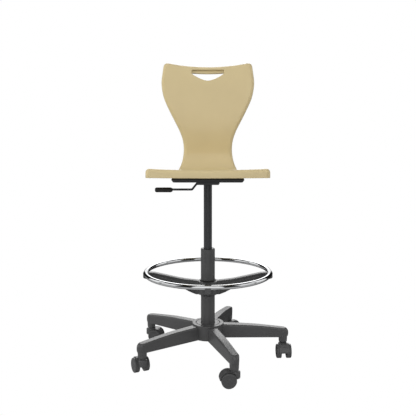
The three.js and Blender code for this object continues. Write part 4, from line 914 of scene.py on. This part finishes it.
def lever_pieces():
    """The lever's rod, thinner towards its pivot and the release pin, and its grip."""
    tip, bend, end, level = 2.2, -55.6, -177.0, GRIP_Z + 0.9
    thick, thin, closest = 3.8, 3.5, 0.4
    path = [(tip, PIVOT_Z), (PIVOT_X, PIVOT_Z), (bend, level), (end, level)]
    path = rounded(path, [0, 7.0, 6.0, 0], 8)
    points = [path[0]]
    for point in path[1:]:
        if math.dist(point, points[-1]) > closest:
            points.append(point)
    radii = np.interp([x for x, _ in points], [-50.0, PIVOT_X - 8.0], [thick, thin])
    rod = combined(
        rod_along(points, radii, 32),
        (ADD, [along_y(sleeve(0, 5.0, -7, 7, (0.5, 0.5), 3, 40), PIVOT_X, PIVOT_Z)]),
        (CUT, [pivot_bore()]),
    )
    dress("lever_bent_rod", rod, "lever_rod")

    grip_root, bore, radius, end_round, length = -124.3, 3.8, 8.6, 6.2, 61.8
    grip = rounded([(bore, 0), (5.8, 0), (radius, 6), (radius, 40)], [0, 2.0, 6.0, 0], 8)
    grip += arc((2.4, 55.6), end_round, 0, 90, 12) + [(0, length), (0, 53), (bore, 53)]
    points, faces = turned(grip, 64)
    laid = [grip_root - points[:, 2], points[:, 1], points[:, 0] + GRIP_Z - 0.3]
    dress("lever_handle_grip", (np.stack(laid, 1), faces), "lever_grip")


mechanism_housing()
mounting_plate()
lever_pieces()


# Foot ring. Each edge of its carrier's arms is given by reach and by share of the way down
CARRIER_TOP, CARRIER_BOTTOM, CARRIER_FALL = 280.0, 232.0, 80.0
CARRIER_CORE = 33.0
TOP_EDGE = [(CARRIER_CORE, 0.38), (80.0, 0.309), (100.1, 0.268), (154.0, 0.116)]
TOP_EDGE += [(190.1, 0.016), (209.0, 0.0)]
FOOT_EDGE = [(CARRIER_CORE, 1.0), (42.0, 1.0), (62.0, 0.9), (77.0, 0.8), (83.6, 0.75)]
FOOT_EDGE += [(225.5, 0.275)]
AT_RING = (RING_RADIUS, 0, 0)
RING_SCREW_HOLE = 2.9


def carrier_line(shares):
    return [(x, RING_HEIGHT - CARRIER_FALL * share) for x, share in shares]


def foot_ring():
    around, across = 288, 32
    sections = []
    for i in range(around):
        angle = 2 * pi * i / around
        ring = []
        for j in range(across):
            turn = 2 * pi * j / across
            reach = RING_RADIUS + RING_TUBE * cos(turn)
            height = RING_HEIGHT + RING_TUBE * sin(turn)
            ring.append((reach * cos(angle), reach * sin(angle), height))
        sections.append(ring)
    torus = lofted(sections, closed=True)
    hole = moved(disc(RING_SCREW_HOLE, 298, 308, 24), shift=AT_RING)
    dress("chrome_foot_ring", combined(torus, (CUT, repeated(hole, 4))), "foot_ring", 40)


def carrier_arm():
    """An arm along +X, with the trough that the ring lies in and the hook outside it."""
    trough_radius, lip_round, hook_round = 8.7, 1.2, 5.0
    outer = RING_RADIUS + 10.8
    top = rounded(carrier_line(TOP_EDGE), [0, 30, 30, 40, 20, 0], 6)
    foot = rounded(carrier_line(FOOT_EDGE), [0, 8, 30, 30, 30, 0], 5)[:-1][::-1]
    trough = arc((RING_RADIUS, RING_HEIGHT), trough_radius, 180, 360, 32)
    lip = arc((outer - lip_round, RING_HEIGHT - lip_round), lip_round, 90, 0, 4)
    hook = arc((outer - hook_round, RING_HEIGHT - 17.0), hook_round, 0, -80, 8)
    outline = top + trough + lip + hook + foot
    return slab(outline[::-1], -10, 10, 1.0, 3)


def arm_recess():
    """The recess in an arm's side, with lengthwise and fine slanting ribs left standing in it."""
    margin, half_rib, floor, open_side = 3.2, 1.1, 4.0, 12.0
    width, run = 1.1, 70
    reaches = np.linspace(42.0, RING_RADIUS - 16.0, 33)
    low_line, high_line = (np.array(carrier_line(edge)) for edge in (FOOT_EDGE, TOP_EDGE))
    low = np.interp(reaches, low_line[:, 0], low_line[:, 1]) + margin
    high = np.interp(reaches, high_line[:, 0], high_line[:, 1]) - margin

    def band(start, end):
        return list(zip(reaches, start)) + list(zip(reaches, end))[::-1]

    ribs = []
    for share in (1 / 3, 2 / 3):
        middle = low + (high - low) * share
        ribs.append(slab(band(middle - half_rib, middle + half_rib), 2.0, 7.6))
    for x in np.arange(30.0, RING_RADIUS, 9.0):
        slant = [(x, 225), (x + width, 225), (x + width + run, 325), (x + run, 325)]
        ribs.append(slab(slant, 2.0, 5.6))
    return combined(slab(band(low, high), floor, open_side), (CUT, ribs))


def foot_ring_carrier():
    hub = sleeve(28.8, 37.0, CARRIER_BOTTOM, CARRIER_TOP, (3.0, 3.0), 6, ROUND)
    recess = arm_recess()
    shank = moved(disc(RING_SCREW_HOLE, 285, 311, 24), shift=AT_RING)
    head = moved(disc(5.0, 275, 291, 32), shift=AT_RING)
    core = disc(CARRIER_CORE, 200, 300, ROUND)
    arm = combined(carrier_arm(), (CUT, [recess, mirrored(recess), shank, head, core]))
    carrier = combined(hub, (ADD, repeated(arm, 4)))
    dress("foot_ring_spider", carrier, "foot_ring_carrier", 30)


def ring_collet():
    collet = sleeve(25.1, 28.2, 228, 284, (0.9, 0.9), 3, ROUND)
    slit = moved(box((0, -1.5, 220), (40, 1.5, 290)), 45)
    dress("split_collet", combined(collet, (CUT, [slit])), "ring_collet")


foot_ring()
foot_ring_carrier()
ring_collet()


# Castors, built with the stem on the Z axis and the axle behind it, towards +X
AXLE_X, AXLE_Z, AXLE_HOLE, HOOD_TOP = 19.4, 25.0, 4.15, 53.3
WHEEL_RADIUS, WHEEL_INNER_FACE = 25, 9.5
# Number, direction of its arm and heading, in degrees
CASTORS = ((1, -144.0, 116.6), (2, 144.0, -14.0), (3, 72.0, -47.0), (4, 0.0, -88.0))
CASTORS += ((5, -72.0, 187.0),)


def castor_hood():
    """The hood: a nose and a boss round the stem, and a fender and a web for the wheels."""
    centre = (AXLE_X, AXLE_Z)
    outside, inside, fender_end = 28.3, 26.0, 128
    nose = moved(sleeve(0, 15.4, 26, 50, (3.6, 4.4), 6, 64), shift=(-4.5, 0, 0))
    boss = sleeve(0, 12.5, 25, HOOD_TOP, (0, 1.8), 5, 64)
    fender = arc(centre, outside, 0, fender_end, 36) + arc(centre, inside, fender_end, 0, 36)
    fender = slab(fender, -18.0, 18.0, 0.8, 3)
    web = arc(centre, 27.1, 0, fender_end, 36) + [(-7.7, 29.5), (7.7, 29.5)]
    web += arc(centre, 6.5, 200, 350, 12)
    web = slab(web, -9.0, 9.0, 0.6, 2)
    rooms = [cross_rod(inside, *sides, *centre, 96) for sides in ((9.0, 36.0), (-36.0, -9.0))]
    blank = combined(nose, (ADD, [boss]), (CUT, rooms))
    bores = [cross_rod(AXLE_HOLE, -34, 34, *centre, 32), disc(STEM_HOLE, 38.0, 56, 32)]
    return combined(blank, (ADD, [fender, web]), (CUT, bores))


def castor_wheel():
    """The wheel on the hood's +Y side: a tread, a dished disc and a blind hole for the axle."""
    tread_face, dish_face, cap_face = 16.6, 15.8, 16.4
    profile = [(0, 11), (AXLE_HOLE, 11), (AXLE_HOLE, -0.3), (9, -0.3), (9, 0), (WHEEL_RADIUS, 0)]
    profile += [(WHEEL_RADIUS, tread_face), (18.4, tread_face), (17.6, dish_face)]
    profile += [(8.2, dish_face), (7.4, cap_face), (0, cap_face)]
    profile = rounded(profile, [0, 0, 0.2, 0.1, 0, 1.2, 3.4, 0.5, 0.5, 0.4, 0.5, 0], 6)
    laid = along_y(turned(profile, ROUND), AXLE_X, AXLE_Z)
    return moved(laid, shift=(0, WHEEL_INNER_FACE, 0))


def castor_stem():
    low, ring, ring_top, top = HOOD_TOP - 15, HOOD_TOP + 0.3, HOOD_TOP + 0.3 + 0.9, HOOD_TOP + 41
    radius, ring_radius = 5.5, 11
    profile = [(0, low), (radius, low), (radius, ring), (ring_radius, ring)]
    profile += [(ring_radius, ring_top), (radius, ring_top), (radius, top), (0, top)]
    return turned(rounded(profile, [0, 0.4, 0, 0.3, 0.3, 0, 1.2, 0], 3), 48)


def castors():
    wheel = castor_wheel()
    parts = {"hood": castor_hood(), "stem": castor_stem()}
    parts |= {"wheel_left": wheel, "wheel_right": mirrored(wheel)}
    for number, arm, heading in CASTORS:
        for part, mesh in parts.items():
            placed = moved(moved(mesh, heading - arm, AT_CASTOR), arm)
            dress(f"twin_castor_{number}_{part}", placed, f"castor_{number}_{part}")


castors()

# CAD nodes that keep their own shape take the finish of their slot
for name, obj in frame["nodes"].items():
    obj.data.materials.clear()
    obj.data.materials.append(finishes[slots[name]])


# Camera, floor and lights. The camera was worked out from the photograph
CAMERA_PLACE, CAMERA_TILT = (0.0, -2.0245, 0.7887), 6.97
WHITE = (1.0, 1.0, 1.0)

# Each soft box: degrees to either side of the front, degrees above the floor, brightness
# and softness of its edge. The rest of the studio is almost dark
FILL = 0.01
SOFT_BOXES = (
    ((-9.0, 27.5), (-4.0, 62.0), 1.0, 1.5),
    ((57.0, 88.0), (-4.0, 48.0), 0.86, 1.5),
    ((93.0, 124.0), (-4.0, 46.0), 1.0, 2.0),
    ((163.0, 189.0), (2.0, 17.0), 1.1, 2.0),
    ((163.0, 189.0), (17.0, 46.0), 3.4, 2.0),
    ((-9.0, 189.0), (70.0, 99.0), 0.7, 2.0),
    ((-99.0, 126.0), (-99.0, -8.0), 0.4, 4.0),
)
# The floor behind the object on its left, with degrees to the right of the front
LEFT_FLOOR = ((-151.0, -125.0), (-99.0, -8.0), 0.33, 4.0)

# Each diffuser: name, brightness, width and height, and place. All of them face MIDDLE
MIDDLE = (0.0, 0.0, 0.6)
DIFFUSERS = (
    ("front", 1.22, (3.2, 2.6), (0.0, -3.8, 1.5)),
    ("left", 3.6, (2.0, 2.4), (-3.2, -1.2, 1.5)),
    ("right", 1.1, (2.0, 2.4), (3.2, -1.2, 1.6)),
    ("top", 1.0, (2.0, 2.0), (0.0, 0.2, 3.2)),
)


def add_camera():
    data = bpy.data.cameras.new("camera")
    data.lens = 50.0
    data.sensor_width = 36.0
    data.shift_x = 0.00036
    camera = bpy.data.objects.new("camera", data)
    camera.location = CAMERA_PLACE
    camera.rotation_euler = (radians(90.0 - CAMERA_TILT), 0.0, 0.0)
    bpy.context.collection.objects.link(camera)
    bpy.context.scene.camera = camera


def add_floor():
    """A plain white sweep that glows evenly. The object's light comes from the studio instead."""
    material, _, shader = new_finish("floor_white", (0.0, 0.0, 0.0), 0.9)
    shader.inputs["Specular IOR Level"].default_value = 0.0
    shader.inputs["Emission Color"].default_value = (*WHITE, 1.0)
    shader.inputs["Emission Strength"].default_value = 1.0
    half = 12.0
    corners = [(-half, -half, 0), (half, -half, 0), (half, half, 0), (-half, half, 0)]
    mesh = bpy.data.meshes.new("floor")
    mesh.from_pydata(corners, [], [(0, 1, 2, 3)])
    mesh.materials.append(material)
    floor = bpy.data.objects.new("floor", mesh)
    floor.visible_diffuse = False
    floor.visible_glossy = False
    bpy.context.collection.objects.link(floor)


def add_light(name, brightness, size, place):
    """A large diffuser: it lights the object evenly and leaves no shape of its own in its gloss."""
    data = bpy.data.lights.new(name, "AREA")
    data.shape = "RECTANGLE"
    data.size, data.size_y = size
    data.energy = brightness * pi * size[0] * size[1]
    light = bpy.data.objects.new(name, data)
    light.location = place
    facing = Vector(MIDDLE) - Vector(place)
    light.rotation_euler = facing.to_track_quat("-Z", "Y").to_euler()
    light.visible_camera = False
    light.visible_glossy = False
    bpy.context.collection.objects.link(light)


def within(tree, value, low, high, soft):
    """One between two bounds, zero outside them, with soft edges."""
    above = spread(tree, value, low - soft, low + soft)
    below = spread(tree, value, high - soft, high + soft, 1.0, 0.0)
    return math_on(tree, "MULTIPLY", above, below)


def add_world():
    """The studio: white where the camera sees it, soft boxes and a dim floor in the gloss."""
    world = bpy.data.worlds.new("studio")
    world.use_nodes = True
    tree = world.node_tree
    place = node(tree, "ShaderNodeTexCoord").outputs["Generated"]
    parts = node(tree, "ShaderNodeSeparateXYZ", {"Vector": place}).outputs
    front = math_on(tree, "MULTIPLY", parts["Y"], -1.0)
    aside = math_on(tree, "DEGREES", math_on(tree, "ARCTAN2", parts["X"], front))
    turn = math_on(tree, "ABSOLUTE", aside)
    height = math_on(tree, "DEGREES", math_on(tree, "ARCSINE", parts["Z"]))
    total = FILL
    boxes = [(turn, *box) for box in SOFT_BOXES] + [(aside, *LEFT_FLOOR)]
    for way, turns, heights, brightness, soft in boxes:
        across = within(tree, way, *turns, soft)
        share = math_on(tree, "MULTIPLY", across, within(tree, height, *heights, soft))
        total = math_on(tree, "MULTIPLY_ADD", share, brightness, total)
    seen = node(tree, "ShaderNodeLightPath").outputs["Is Camera Ray"]
    background = tree.nodes["Background"].inputs["Color"]
    tree.links.new(blended(tree, seen, total, WHITE), background)
    bpy.context.scene.world = world


add_camera()
add_floor()
add_world()
for diffuser in DIFFUSERS:
    add_light(*diffuser)

bpy.context.scene.view_settings.view_transform = "Standard"
